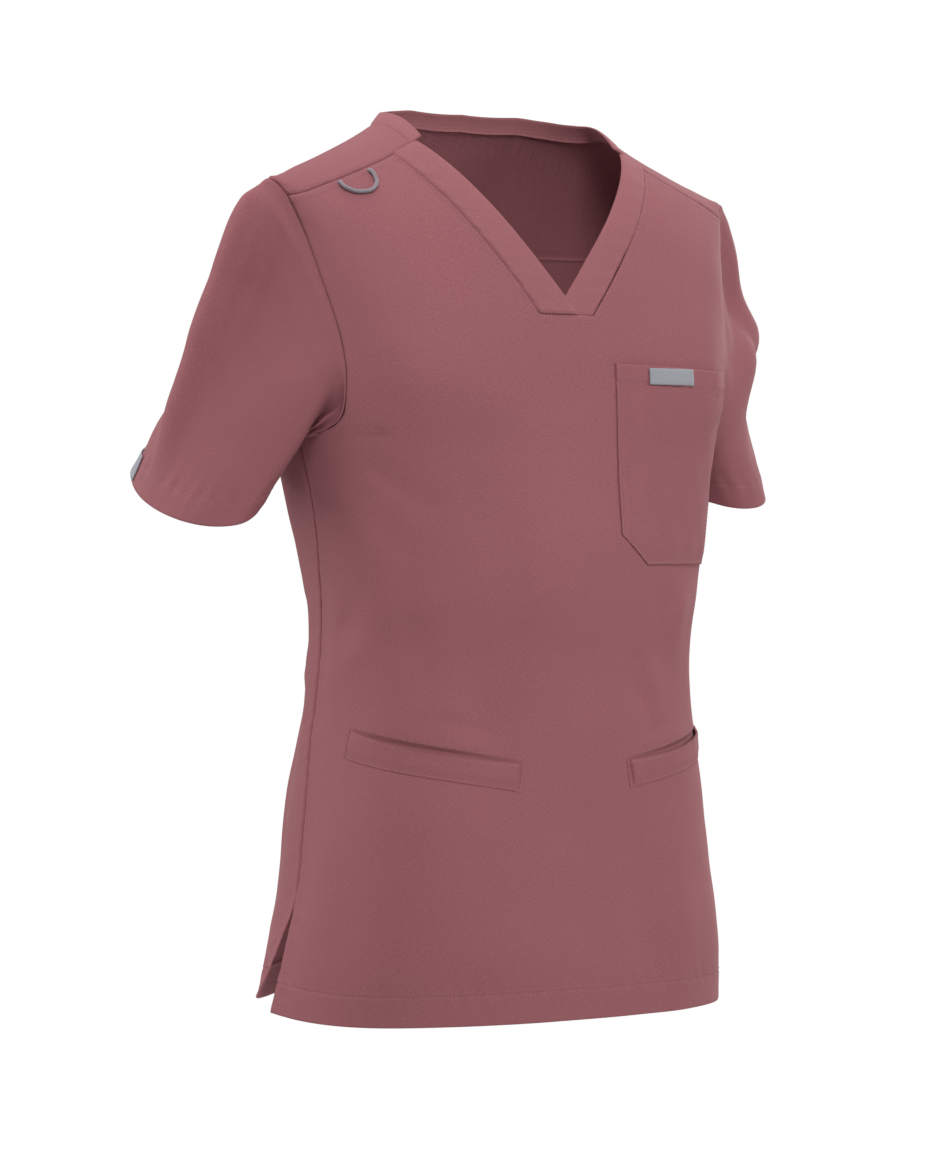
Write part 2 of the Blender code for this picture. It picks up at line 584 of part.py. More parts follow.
def sleeve_grid(shares, cuff_row):
    """Middle points of a sleeve: each line of the cloth is a cubic from armhole to cuff.

    Both sleeves are worked out on the right side; the left one is mirrored afterwards.
    """
    side, x, y, z, half_x, half_y, tilt_x, tilt_y = cuff_row
    edge, normal = armhole_ring()
    ring = np.roll(edge, -1, 0) - np.roll(edge, 1, 0)
    ring /= np.linalg.norm(ring, axis=-1, keepdims=True)
    outward = np.cross(ring, normal)
    beside = edge.mean(0) - [BESIDE, 0, 0]
    outward *= np.sign((outward * (beside - edge)).sum(-1))[:, None]
    run = np.linalg.norm(np.diff(np.vstack([edge, edge[:1]]), axis=0), axis=1)
    along = np.concatenate([[0], np.cumsum(run)[:-1]])
    ridge = along[np.argmax(edge[:, 2])]
    angle = np.where(along < ridge, np.pi * along / ridge,
                     np.pi + np.pi * (along - ridge) / (run.sum() - ridge))
    dx = half_x * np.cos(angle)
    dy = -half_y * np.sin(angle)
    cuff = np.array([x, y, z]) + np.stack([dx, dy, tilt_x * dx + tilt_y * dy], -1)
    way = cuff - edge
    length = np.linalg.norm(way, axis=-1, keepdims=True)
    turnback = (way / length * outward).sum(-1)
    lap = (np.clip((LAP_FROM - turnback) / LAP_FADE, 0, 1)
           * np.clip((LAP_TOP_Z - edge[:, 2]) / LAP_TOP_FADE, 0, 1))
    lap = (lap * lap * (3 - 2 * lap))[:, None]
    start = edge + normal * lap * (WALL + GAP) + outward * SLEEVE_GAP
    way = cuff - start
    leave = way - (way * normal).sum(-1, keepdims=True) * normal
    leave = leave / np.linalg.norm(leave, axis=-1, keepdims=True) * length * LEAVE
    t = shares[:, None, None]
    points = ((2 * t**3 - 3 * t**2 + 1) * start + (t**3 - 2 * t**2 + t) * leave
              + (3 * t**2 - 2 * t**3) * cuff + (t**3 - t**2) * way * ARRIVE)
    out = tube_normals(points, shares)
    for fold_side, turn, share, half_angle, half_share, depth in SLEEVE_FOLDS:
        if fold_side == side:
            off = (angle - np.radians(turn)) / np.radians(half_angle)
            points = points + out * (depth * np.exp(-off**2)[None, :]
                                     * np.exp(-((shares - share) / half_share) ** 2)[:, None]
                                     * np.clip(shares / 0.15, 0, 1)[:, None])[..., None]
    out = tube_normals(points, shares)
    blend = np.array([1.0, 0.8, 0.3] + [0.0] * (len(shares) - 3))[:, None, None]
    out = out * (1 - blend) + normal * blend
    out /= np.linalg.norm(out, axis=-1, keepdims=True)
    return points, out


def tube_normals(points, shares):
    """Outward normals of a grid of rings."""
    down = np.gradient(points, shares, axis=0)
    across = np.roll(points, -1, 1) - np.roll(points, 1, 1)
    out = np.cross(across, down)
    out /= np.linalg.norm(out, axis=-1, keepdims=True)
    return out * np.sign((out * (points - points.mean(1, keepdims=True))).sum(-1).mean())


def make_sleeves():
    """Both short sleeves, each as a front and a back half that meet under the arm and on top."""
    for name, row in zip(("sleeve_right", "sleeve_left"), CUFFS):
        points, normal = sleeve_grid(SLEEVE_SHARES, row)
        mirror = np.array([row[0], 1.0, 1.0])
        lines = points.shape[1]
        for half, first, last in (("front", 0, SLEEVE_TOP_LINE), ("back", SLEEVE_TOP_LINE, lines)):
            columns = np.arange(first, last + 1) % lines
            part = pull_in(points[:, columns], (False, False, True, True), GAP)
            wall(f"{name}_{half}", part * mirror, normal[:, columns] * mirror, ROSE)


def lay_on(name, turn, level, height, lift, colour, thickness):
    """Piece that lies on the front: the form's points moved out by height, plus a lift grid."""
    points = form(turn, level)
    normal = form_normals(turn, level)
    points = points + normal * (height + thickness / 2 + lift)[..., None]
    return wall(name, points, normal, colour, thickness)


def make_chest_pocket():
    """Patch pocket on the wearer's left chest, with its lower inner corner cut off."""
    across = np.concatenate([np.linspace(0, POCKET_CUT[0], 4)[:-1],
                             np.linspace(POCKET_CUT[0], 1, 9)])
    up = np.linspace(0, 1, 15)
    bottom = POCKET_BOTTOM_Z + POCKET_CUT[1] * np.clip(1 - across / POCKET_CUT[0], 0, 1)
    top = POCKET_TOP_Z[0] + (POCKET_TOP_Z[1] - POCKET_TOP_Z[0]) * across
    z = bottom[None, :] + (top - bottom)[None, :] * up[:, None]
    inner = POCKET_INNER_X[0] + (POCKET_INNER_X[1] - POCKET_INNER_X[0]) * up
    outer = POCKET_OUTER_X[0] + (POCKET_OUTER_X[1] - POCKET_OUTER_X[0]) * up
    start, end = turn_at(inner, z[:, 0]), turn_at(outer, z[:, -1])
    turn = start[:, None] + (end - start)[:, None] * across[None, :]
    lift = POCKET_LIFT * np.sin(np.pi * across)[None, :] * up[:, None] ** 4
    return lay_on("chest_pocket", turn, level_at(turn, z), WALL / 2 + PATCH_GAP, lift, ROSE, PATCH)


def make_pocket_label():
    """Plain woven label on the pocket's hem."""
    x, z = np.meshgrid(np.linspace(*LABEL_X, 7), np.linspace(*LABEL_Z, 3))
    turn, level = front_chart(x, z)
    height = WALL / 2 + PATCH_GAP + PATCH + POCKET_LIFT + GAP
    return lay_on("pocket_label", turn, level, height, 0 * x, GREY, LABEL)


def make_welt(name, side):
    """Slanted welt of a lower pocket; its upper edge stands open a little."""
    across, up = np.meshgrid(np.linspace(0, 1, 17), np.linspace(0, 1, 4))
    turn = WELT_TURNS[0] + (WELT_TURNS[1] - WELT_TURNS[0]) * across + WELT_SKEW * (1 - up)
    top = WELT_TOP_Z[0] + (WELT_TOP_Z[1] - WELT_TOP_Z[0]) * across
    level = top - WELT_HEIGHT * (1 - up)
    lift = WELT_LIFT * np.sin(np.pi * across) * up**2
    return lay_on(name, side * turn, level, WALL / 2 + PATCH_GAP, lift, ROSE, PATCH)


def make_badge_loop():
    """Grey cord loop that hangs from the right forward shoulder seam over the front."""
    x, z = np.array(LOOP_LINE).T
    knots = np.linspace(0, 1, len(x))
    fine = np.linspace(0, 1, 25)
    turn, level = front_chart(-smooth(fine, knots, x), smooth(fine, knots, z))
    out = WALL / 2 + GAP / 2 + LOOP_CORD / 2
    line = form(turn, level) + form_normals(turn, level) * out
    along = np.gradient(line, axis=0)
    along /= np.linalg.norm(along, axis=-1, keepdims=True)
    normal = form_normals(turn, level)
    across = np.cross(along, normal)
    across /= np.linalg.norm(across, axis=-1, keepdims=True)
    normal = np.cross(across, along)
    angle = np.arange(8) / 8 * 2 * np.pi
    ring = (np.cos(angle)[None, :, None] * across[:, None]
            + np.sin(angle)[None, :, None] * normal[:, None])
    vertices = (line[:, None] + ring * LOOP_CORD / 2).reshape(-1, 3)
    faces = []
    for i in range(len(line) - 1):
        for j in range(8):
            a, b = i * 8 + j, i * 8 + (j + 1) % 8
            faces.append((a, b, b + 8, a + 8))
    faces.append(tuple(range(7, -1, -1)))
    faces.append(tuple(range((len(line) - 1) * 8, len(line) * 8)))
    return solid("badge_loop", vertices, faces, GREY)


def make_cuff_tab():
    """Small grey tab on the hem of the right cuff, at the outer back."""
    points, normal = sleeve_grid(np.concatenate([SLEEVE_SHARES[:3], TAB_SHARES]), CUFFS[0])
    first, last = TAB_RING
    points, normal = points[3:, first:last + 1], normal[3:, first:last + 1]
    points = points + normal * (WALL / 2 + PATCH_GAP + LABEL / 2)
    return wall("cuff_tab", points, normal, GREY, LABEL)


def clear_scene():
    """Start from an empty scene."""
    for item in list(bpy.data.objects):
        bpy.data.objects.remove(item, do_unlink=True)


def main():
    clear_scene()
    make_front()
    make_back()
    make_yoke()
    make_neck_band("neck_band_right", -1, 0.0)
    make_neck_band("neck_band_left", 1, WALL + GAP)
    make_back_neckband()
    make_sleeves()
    make_chest_pocket()
    make_pocket_label()
    make_welt("welt_right", -1)
    make_welt("welt_left", 1)
    make_badge_loop()
    make_cuff_tab()


main()
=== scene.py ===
"""Looks of the V-neck scrub top: fine shells of cloth with soft creases, seams and sewing.

A place on the worn form is (turn, level): turn counts quarter turns round the body from the front
centre (1 is the wearer's left side, 2 the back), level is the height in metres up to the chest
line, and above it level 0 is the shoulder ridge. All lengths are metres.
"""

import bpy
import numpy as np
from mathutils import Matrix


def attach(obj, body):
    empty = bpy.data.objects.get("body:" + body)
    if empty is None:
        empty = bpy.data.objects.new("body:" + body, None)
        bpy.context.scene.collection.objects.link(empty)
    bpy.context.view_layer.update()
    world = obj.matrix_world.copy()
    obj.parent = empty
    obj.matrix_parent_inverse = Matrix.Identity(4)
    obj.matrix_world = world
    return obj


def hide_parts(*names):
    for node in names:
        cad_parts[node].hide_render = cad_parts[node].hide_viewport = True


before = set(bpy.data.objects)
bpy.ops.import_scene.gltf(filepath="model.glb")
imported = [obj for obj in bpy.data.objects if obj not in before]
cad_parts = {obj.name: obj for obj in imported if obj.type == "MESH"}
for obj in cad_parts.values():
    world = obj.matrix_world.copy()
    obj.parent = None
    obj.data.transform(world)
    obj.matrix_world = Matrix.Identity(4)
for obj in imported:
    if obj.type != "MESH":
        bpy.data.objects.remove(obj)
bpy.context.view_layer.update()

# ---- sizes of the form -------------------------------------------------------------------------
# They are the solids' own, except CUFFS, SLEEVE_FOLDS and the fuller sleeve head.

CHEST, HEM, VENT = -0.200, -0.684, -0.590
SEAM_REACH, YOKE_BACK_Z = 0.41, -0.095
RIDGE = np.array((
    (0.0000, 0.0000, 0.0240), (0.0500, 0.0000, 0.0205), (0.0750, 0.0000, 0.0125),
    (0.0950, -0.0005, 0.0025), (0.1080, -0.0010, -0.0050), (0.1280, -0.0045, -0.0155),
    (0.1500, -0.0080, -0.0255), (0.1850, -0.0140, -0.0400), (0.2178, -0.0200, -0.0510)))
BODY_COLUMNS = ("level", "half_width", "front", "back", "middle_y", "square", "side_turn")
BODY = np.array((
    (-0.684, 0.1925, 0.1135, 0.1210, -0.0120, 2.30, 1.03),
    (-0.640, 0.1890, 0.1150, 0.1185, -0.0129, 2.30, 1.03),
    (-0.580, 0.1800, 0.1095, 0.1131, -0.0150, 2.35, 1.04),
    (-0.530, 0.1740, 0.1060, 0.1093, -0.0160, 2.40, 1.05),
    (-0.480, 0.1675, 0.1024, 0.1040, -0.0160, 2.40, 1.07),
    (-0.440, 0.1615, 0.0965, 0.0985, -0.0175, 2.40, 1.08),
    (-0.400, 0.1590, 0.0930, 0.0952, -0.0205, 2.50, 1.08),
    (-0.360, 0.1630, 0.0930, 0.0957, -0.0230, 2.60, 1.06),
    (-0.330, 0.1680, 0.0937, 0.0971, -0.0220, 2.70, 1.03),
    (-0.300, 0.1725, 0.0945, 0.1000, -0.0190, 2.80, 1.01),
    (-0.270, 0.1780, 0.0950, 0.1005, -0.0160, 2.90, 1.00),
    (-0.243, 0.1840, 0.0945, 0.1010, -0.0150, 3.00, 1.00),
    (-0.200, 0.1920, 0.0930, 0.1000, -0.0150, 3.20, 1.00)))
ARMHOLE = np.array((   # level, front turn, back turn
    (-0.2430, 1.000, 1.000), (-0.2410, 0.840, 0.880), (-0.2360, 0.725, 0.800),
    (-0.2260, 0.660, 0.745), (-0.2000, 0.630, 0.715), (-0.1700, 0.642, 0.712),
    (-0.1300, 0.680, 0.728), (-0.0900, 0.722, 0.750), (-0.0550, 0.755, 0.772),
    (-0.0200, 0.782, 0.793), (-0.0035, 0.795, 0.800), (0.0000, 0.760, 0.760)))
ARM_LEVELS = np.array([-0.243, -0.2415, -0.238, -0.231, -0.218, -0.200, -0.178, -0.150,
                       -0.120, -0.090, -0.060])
ARM_REACHES = np.array([-0.41, -0.33, -0.18, 0.0, 0.18, 0.36])
FOLDS = (   # turn, lean, top level, bottom level, half width, depth
    (-0.62, 0.06, -0.400, -0.700, 0.120, 0.0030), (-0.36, 0.10, -0.330, -0.640, 0.100, -0.0022),
    (0.36, -0.05, -0.520, -0.720, 0.080, 0.0030), (0.20, 0.02, -0.500, -0.720, 0.070, -0.0020),
    (0.60, 0.00, -0.345, -0.480, 0.060, 0.0014), (0.80, 0.00, -0.330, -0.560, 0.080, -0.0024),
    (-1.62, 0.04, -0.420, -0.720, 0.110, 0.0040), (-1.86, 0.02, -0.380, -0.700, 0.080, -0.0030),
    (1.60, -0.05, -0.400, -0.720, 0.120, 0.0040), (1.84, 0.00, -0.450, -0.720, 0.080, -0.0030),
    (1.30, 0.00, -0.330, -0.600, 0.090, -0.0030), (-1.30, 0.00, -0.360, -0.620, 0.090, -0.0025))
NECK_TURN, NECK_BACK_REACH, NECK_SQUARE = 0.295, 0.44, 2.5
YOKE_LEAD, YOKE_ARM = 0.22, 0.44
V_OUTER_TOP_X, V_OUTER_END = 0.1187, (0.0260, -0.1500)
V_INNER_TOP_X, V_INNER_END = 0.0965, (-0.0106, -0.1500)
BAND = np.array(((-0.41, 0.0092, 0.0060), (0.0, 0.0095, 0.0095),   # reach, lean, rise
                 (0.25, 0.0060, 0.0115), (0.44, 0.0035, 0.0118)))
FRONT_CORNER, FRONT_FLARE, FRONT_RISE = 0.55, 0.011, 0.007
BACK_CORNER, BACK_FLARE, BACK_SWING, BACK_RISE, BACK_CORNER_RISE = 0.60, 0.016, 0.010, 0.012, 0.006
POCKET_TOP_Z, POCKET_BOTTOM_Z = (-0.1865, -0.1915), -0.340
POCKET_INNER_X, POCKET_OUTER_X, POCKET_CUT = (0.0445, 0.0425), (0.1530, 0.1700), (0.22, 0.0225)
LABEL_X, LABEL_Z = (0.0710, 0.1145), (-0.2020, -0.1895)
WELT_TURNS, WELT_TOP_Z, WELT_HEIGHT, WELT_SKEW = (0.182, 0.800), (-0.4895, -0.4635), 0.0210, 0.012
LOOP_LINE = np.array(((0.1685, -0.0535), (0.1677, -0.0570), (0.1645, -0.0602), (0.1585, -0.0622),
                      (0.1515, -0.0617), (0.1455, -0.0587), (0.1420, -0.0540), (0.1415, -0.0485),
                      (0.1430, -0.0440)))
CUFFS = {   # x, y, z, half x, half y, tilt x, tilt y, worked out on the right side
    1: (-0.2425, 0.0370, -0.2838, 0.0435, 0.0590, 0.22, 0.44),
    -1: (-0.2425, 0.0370, -0.2710, 0.0435, 0.0590, -0.02, 0.42)}
# Side is 1 on the wearer's right, -1 on the left. Angles are degrees round the sleeve: 0 under the
# arm, 180 on top, with the front between them. Share is 0 at the armhole and 1 at the cuff.
SLEEVE_FOLDS = (   # side, angle, share, half angle, half share, depth
    (1, 48, 0.30, 22, 0.22, -0.0060), (1, 80, 0.42, 24, 0.24, 0.0040),
    (1, 215, 0.40, 30, 0.08, 0.0030), (1, 212, 0.11, 75, 0.20, 0.0095),
    (1, 196, 0.53, 44, 0.26, 0.0070), (1, 208, 0.76, 40, 0.13, 0.0055),
    (-1, 158, 0.505, 42, 0.11, 0.0205), (-1, 131, 1.00, 14, 0.24, 0.0010),
    (-1, 190, 0.24, 70, 0.20, 0.0030), (-1, 60, 0.32, 24, 0.22, -0.0050))
LEAVE, ARRIVE = 0.42, 0.95          # pull of a sleeve's lines at the armhole and at the cuff
LAP_FROM, LAP_FADE = 0.62, 0.35     # the sleeve laps over the body where it turns back this much
LAP_TOP_Z, LAP_TOP_FADE, LAP_RISE = -0.060, 0.010, 0.0019
BESIDE = 0.06                       # a point this far beside the armhole tells which way is out
HEAD_FULL, HEAD_ANGLE, HEAD_WIDTH = 1.5, 222, 75
BEGINS = 0.09                       # folds of a sleeve are full from this share on

# ---- sizes of the cloth and the sewing ---------------------------------------------------------

CLOTH = 0.0009         # one layer of stretch scrub cloth, drawn a little thick
HEM_EXTRA = 0.0009     # the turned-up layers of a hem
HEM_DEPTH, CUFF_DEPTH, VENT_DEPTH, POCKET_HEM = 0.0250, 0.0220, 0.0100, 0.0165
HEM_GROOVE, HEM_PUCKER = 0.00065, 0.00060
SEAM_ROLL, SEAM_ROLL_WIDTH = 0.0010, 0.0011
SEAM_SWELL, SEAM_PUCKER = 0.00025, 0.00030
EDGE_ROW, POCKET_ROW, VENT_ROW = 0.0015, 0.0078, 0.0082   # rows of sewing, from an edge
YOKE_ROW, YOKE_SECOND_ROW = 0.0016, 0.0062
WELT_FOOT_ROW, WELT_TOP_ROW, WELT_END_ROW = 0.0014, 0.0022, 0.0010
LAP_ROW, LAP_SECOND_ROW, NECK_ROW, NECK_INNER_ROW = 0.0014, 0.0050, 0.0034, 0.0030
SLIT_ROW = 0.0030      # above the slit of a lower pocket
SIDE_SEAM_EXTRA = 0.6  # the side seams lie this much deeper than the others
WELT_SAG = 0.0028      # the welts' folded edge hangs this far below the slit at most
WELT_LENGTH, POCKET_WIDTH, POCKET_HEIGHT = 0.145, 0.125, 0.150
BAND_RUN, BAND_DEEP, BACK_BAND_DEEP = 0.22, 0.024, 0.015
LABEL_LIFT, TAB_LIFT = 0.0047, 0.0019
TAB_CORNERS = 17, 19   # the tab lies below these corners of the armhole's line
CORD_RADIUS, CORD_LIFT, CORD_SINK = 0.0015, 0.00255, 0.0022
STITCH_PITCH, STITCH_LENGTH, THREAD = 0.0031, 0.0023, 0.00024
FROM_FOLD = 0.0018     # a hem is sewn this far inside its depth
ARC = 0.19             # metres of cloth in one quarter turn, for patterns and creases
RING = 224             # points round a sleeve
ROUND_SLEEVE = 0.00105  # metres of cloth in one degree round a sleeve
DOWN_SLEEVE = 0.24     # metres of cloth from the armhole to the cuff
BACK_MORE = 0.40       # the creases of the back are this much deeper than the tables say
SIDE_LESS = 0.30       # those beside the side seams are this much shallower


# ---- the form ----------------------------------------------------------------------------------

def hermite(t, start, leave, end, arrive):
    """Cubic from start to end for t from 0 to 1, with the slopes leave and arrive."""
    return ((2 * t**3 - 3 * t**2 + 1) * start + (t**3 - 2 * t**2 + t) * leave
            + (3 * t**2 - 2 * t**3) * end + (t**3 - t**2) * arrive)


def smooth(x, xs, ys):
    """Monotone cubic through knots: Hermite pieces whose slope is the harmonic mean of the rises."""
    xs, ys = np.asarray(xs, float), np.asarray(ys, float)
    step = np.diff(xs)
    rise = np.diff(ys) / step
    slope = np.zeros_like(ys)
    both = rise[:-1] * rise[1:] > 0
    slope[1:-1] = np.where(both, 2 * rise[:-1] * rise[1:] / np.where(both, rise[:-1] + rise[1:], 1), 0)
    slope[0] = rise[0]
    x = np.clip(x, xs[0], xs[-1])
    k = np.clip(np.searchsorted(xs, x) - 1, 0, len(step) - 1)
    return hermite((x - xs[k]) / step[k], ys[k], step[k] * slope[k], ys[k + 1], step[k] * slope[k + 1])


def body(level, column):
    """One size of the body form at a level."""
    return smooth(level, BODY[:, 0], BODY[:, BODY_COLUMNS.index(column)])


def unit(v):
    """v / |v| along the last axis."""
    return v / (np.linalg.norm(v, axis=-1, keepdims=True) + 1e-15)


def ease(t):
    """3t^2 - 2t^3 on t clipped to 0..1."""
    t = np.clip(t, 0, 1)
    return t * t * (3 - 2 * t)


def fold_out(turn, level):
    """Large folds of the panels: sum of depth * exp(-across^2) * sin(pi * along)."""
    out = np.zeros(np.broadcast(turn, level).shape)
    for middle, lean, top, bottom, half, depth in FOLDS:
        along = np.clip((top - level) / (top - bottom), 0, 1)
        across = (turn - middle - lean * along) / half
        for whole_turn in (-4, 0, 4):
            out += depth * np.exp(-(across + whole_turn / half) ** 2) * np.sin(np.pi * along)
    return out


def section(turn, level):
    """Squared ellipse |x/a|^n + |y/b|^n = 1 at a level, carried out by the folds."""
    angle = turn * np.pi / 2
    n = body(level, "square")
    reach = (abs(np.sin(angle)) ** n + abs(np.cos(angle)) ** n) ** (-1 / n)
    depth = np.where(np.cos(angle) > 0, body(level, "front"), body(level, "back"))
    out = fold_out(turn, level)
    return ((body(level, "half_width") + out) * reach * np.sin(angle),
            body(level, "middle_y") - (depth + out) * reach * np.cos(angle))


def cap(turn, reach):
    """Over the shoulder: line from the ridge to the chest at reach, height sqrt(1 - reach^2)."""
    x1, y1 = section(turn, CHEST + 0 * turn)
    x0 = x1 * RIDGE[-1, 0] / BODY[-1, 1]
    y0 = smooth(abs(x0), RIDGE[:, 0], RIDGE[:, 1])
    z0 = smooth(abs(x0), RIDGE[:, 0], RIDGE[:, 2])
    height = np.sqrt(1 - np.clip(reach, 0, 1) ** 2)
    return np.stack(np.broadcast_arrays(x0 + (x1 - x0) * reach, y0 + (y1 - y0) * reach,
                                        CHEST + (z0 - CHEST) * height), -1)


def level_reach(level):
    """Reach of a level above the chest: sqrt(1 - (1 - level/chest)^2)."""
    return np.sqrt(1 - np.clip(1 - level / CHEST, 0, 1) ** 2)


def reach_level(reach):
    """Level of a reach, the inverse of level_reach."""
    return CHEST * (1 - np.sqrt(1 - np.clip(abs(reach), 0, 1) ** 2))


def form(turn, level):
    """Point of the whole form: section below the chest, cap above."""
    turn, level = np.broadcast_arrays(np.asarray(turn, float), np.asarray(level, float))
    x, y = section(turn, np.minimum(level, CHEST))
    return np.where((level > CHEST)[..., None], cap(turn, level_reach(level)),
                    np.stack([x, y, level], -1))


def over_shoulder(turn, reach):
    """Form across the ridge: reach -1 front chest, 0 ridge, 1 back chest."""
    behind = np.sign(turn + 1e-12) * (2 - abs(turn))
    return np.where((reach < 0)[..., None], cap(turn, abs(reach)), cap(behind, abs(reach)))


def normals(surface, u, v):
    """Cross product of the two steps of surface(u, v), turned away from the middle of the chest."""
    e = 2e-4
    n = unit(np.cross(surface(u + e, v) - surface(u - e, v), surface(u, v + e) - surface(u, v - e)))
    return n * np.sign((n * (surface(u, v) - [0, -0.015, CHEST])).sum(-1, keepdims=True))


def form_normals(turn, level):
    """Outward normals of the form."""
    turn, level = np.broadcast_arrays(np.asarray(turn, float), np.asarray(level, float))
    middle_y = body(np.minimum(level, CHEST), "middle_y")
    axis = np.stack([0 * turn, middle_y, level - 0.05 * (level > CHEST)], -1)
    e = 2e-4
    level = np.minimum(level, -3e-4)
    n = unit(np.cross(form(turn + e, level) - form(turn - e, level),
                      form(turn, level + e) - form(turn, level - e)))
    return n * np.sign((n * (form(turn, level) - axis)).sum(-1, keepdims=True))


def level_at(turn, z):
    """Level whose point at this turn has the height z."""
    top = cap(turn, 0 * turn)[..., 2]
    return np.where(z > CHEST, CHEST * (1 - (z - CHEST) / (top - CHEST)), z)


def front_chart(x, z):
    """(turn, level) of a front point given by x and z, by halving."""
    x, z = np.broadcast_arrays(np.asarray(x, float), np.asarray(z, float))
    low, high = np.zeros(x.shape), np.ones(x.shape)
    for _ in range(34):
        middle = (low + high) / 2
        inside = form(middle, level_at(middle, z))[..., 0] < abs(x)
        low, high = np.where(inside, middle, low), np.where(inside, high, middle)
    turn = np.sign(x) * low
    return turn, level_at(turn, z)


def armhole_turn(level, back=False):
    """Turn of the armhole edge, counted from the front or from the back centre."""
    return smooth(level, ARMHOLE[:, 0], ARMHOLE[:, 2 if back else 1])


SEAM_LEVEL = float(reach_level(SEAM_REACH))
ARM_TIP = float(armhole_turn(SEAM_LEVEL))


def seam_turn(x):
    """Turn of the forward shoulder seam at this x, by halving."""
    low, high = 0.0, 1.0
    for _ in range(40):
        middle = (low + high) / 2
        low, high = (middle, high) if form(middle, SEAM_LEVEL)[0] < x else (low, middle)
    return low


def v_line(top_x, end, share):
    """(turn, level) along a straight edge of the V in the front view; share 0 end, 1 top."""
    top = form(seam_turn(top_x), SEAM_LEVEL)
    return front_chart(end[0] + (top[0] - end[0]) * share, end[1] + (top[2] - end[1]) * share)


def back_seam_level(from_back):
    """Level of the back yoke seam, which runs level with the floor."""
    return level_at(2 - abs(from_back), YOKE_BACK_Z + 0 * from_back)


def back_arm_end():
    """Where the armhole meets the back yoke seam: turn from the back centre, and level."""
    turn = 0.8
    for _ in range(30):
        level = float(back_seam_level(np.array(turn)))
        turn = float(armhole_turn(level, True))
    return turn, level


BACK_TIP, BACK_TIP_LEVEL = back_arm_end()


# ---- small creases of the cloth ----------------------------------------------------------------

# each runs from (turn, level) to (turn, level); then come its half width, its depth, which is
# negative for a trough, and its bend to one side
CREASES = (
    (-0.62, -0.262, -0.40, -0.300, 0.0070, -0.0016, 0.004),
    (-0.66, -0.285, -0.48, -0.345, 0.0090, -0.0013, 0.006),
    (-0.58, -0.245, -0.50, -0.215, 0.0060, 0.0010, 0.003),
    (0.62, -0.250, 0.50, -0.225, 0.0060, -0.0012, 0.003),
    (0.86, -0.262, 0.72, -0.300, 0.0070, -0.0014, 0.004),
    (-0.30, -0.400, -0.12, -0.520, 0.0150, -0.0011, 0.012),
    (-0.52, -0.360, -0.44, -0.470, 0.0130, 0.0006, -0.008),
    (-0.74, -0.350, -0.92, -0.410, 0.0070, -0.0013, 0.004),
    (-0.70, -0.385, -0.94, -0.425, 0.0080, 0.0010, -0.004),
    (0.78, -0.345, 0.96, -0.395, 0.0070, -0.0015, 0.004),
    (0.74, -0.370, 0.94, -0.430, 0.0080, 0.0011, -0.005),
    (0.22, -0.600, 0.30, -0.684, 0.0080, -0.0010, 0.003),
    (0.36, -0.590, 0.33, -0.684, 0.0070, 0.0009, 0.003),
    (0.10, -0.560, 0.04, -0.684, 0.0120, -0.0008, 0.006),
    (-0.24, -0.600, -0.28, -0.684, 0.0120, 0.0009, 0.005),
    (0.10, -0.300, 0.02, -0.420, 0.0140, 0.0007, 0.010),
    (-0.20, -0.474, -0.52, -0.452, 0.0050, -0.0008, 0.002),
    (0.20, -0.474, 0.52, -0.452, 0.0050, -0.0008, 0.002),
    # on the back
    (1.38, -0.262, 1.60, -0.310, 0.0080, -0.0026, 0.005),
    (-1.36, -0.258, -1.58, -0.300, 0.0080, -0.0027, 0.004),
    (1.24, -0.350, 1.50, -0.392, 0.0090, -0.0029, 0.006),
    (-1.22, -0.365, -1.52, -0.410, 0.0090, -0.0027, 0.007),
    (1.20, -0.395, 1.46, -0.420, 0.0080, 0.0021, 0.004),
    (-1.20, -0.400, -1.44, -0.440, 0.0080, 0.0021, -0.004),
    (1.90, -0.380, 1.70, -0.400, 0.0100, -0.0021, 0.006),
    (-1.88, -0.405, -1.66, -0.425, 0.0100, -0.0019, 0.006),
    (1.72, -0.560, 1.66, -0.684, 0.0110, -0.0021, 0.006),
    (-1.70, -0.540, -1.78, -0.684, 0.0120, -0.0022, 0.006),
    (1.98, -0.110, 1.94, -0.240, 0.0120, 0.0016, 0.004),
    (-1.60, -0.130, -1.50, -0.230, 0.0110, -0.0016, 0.006),
    (1.58, -0.120, 1.50, -0.220, 0.0110, -0.0018, 0.006),
)


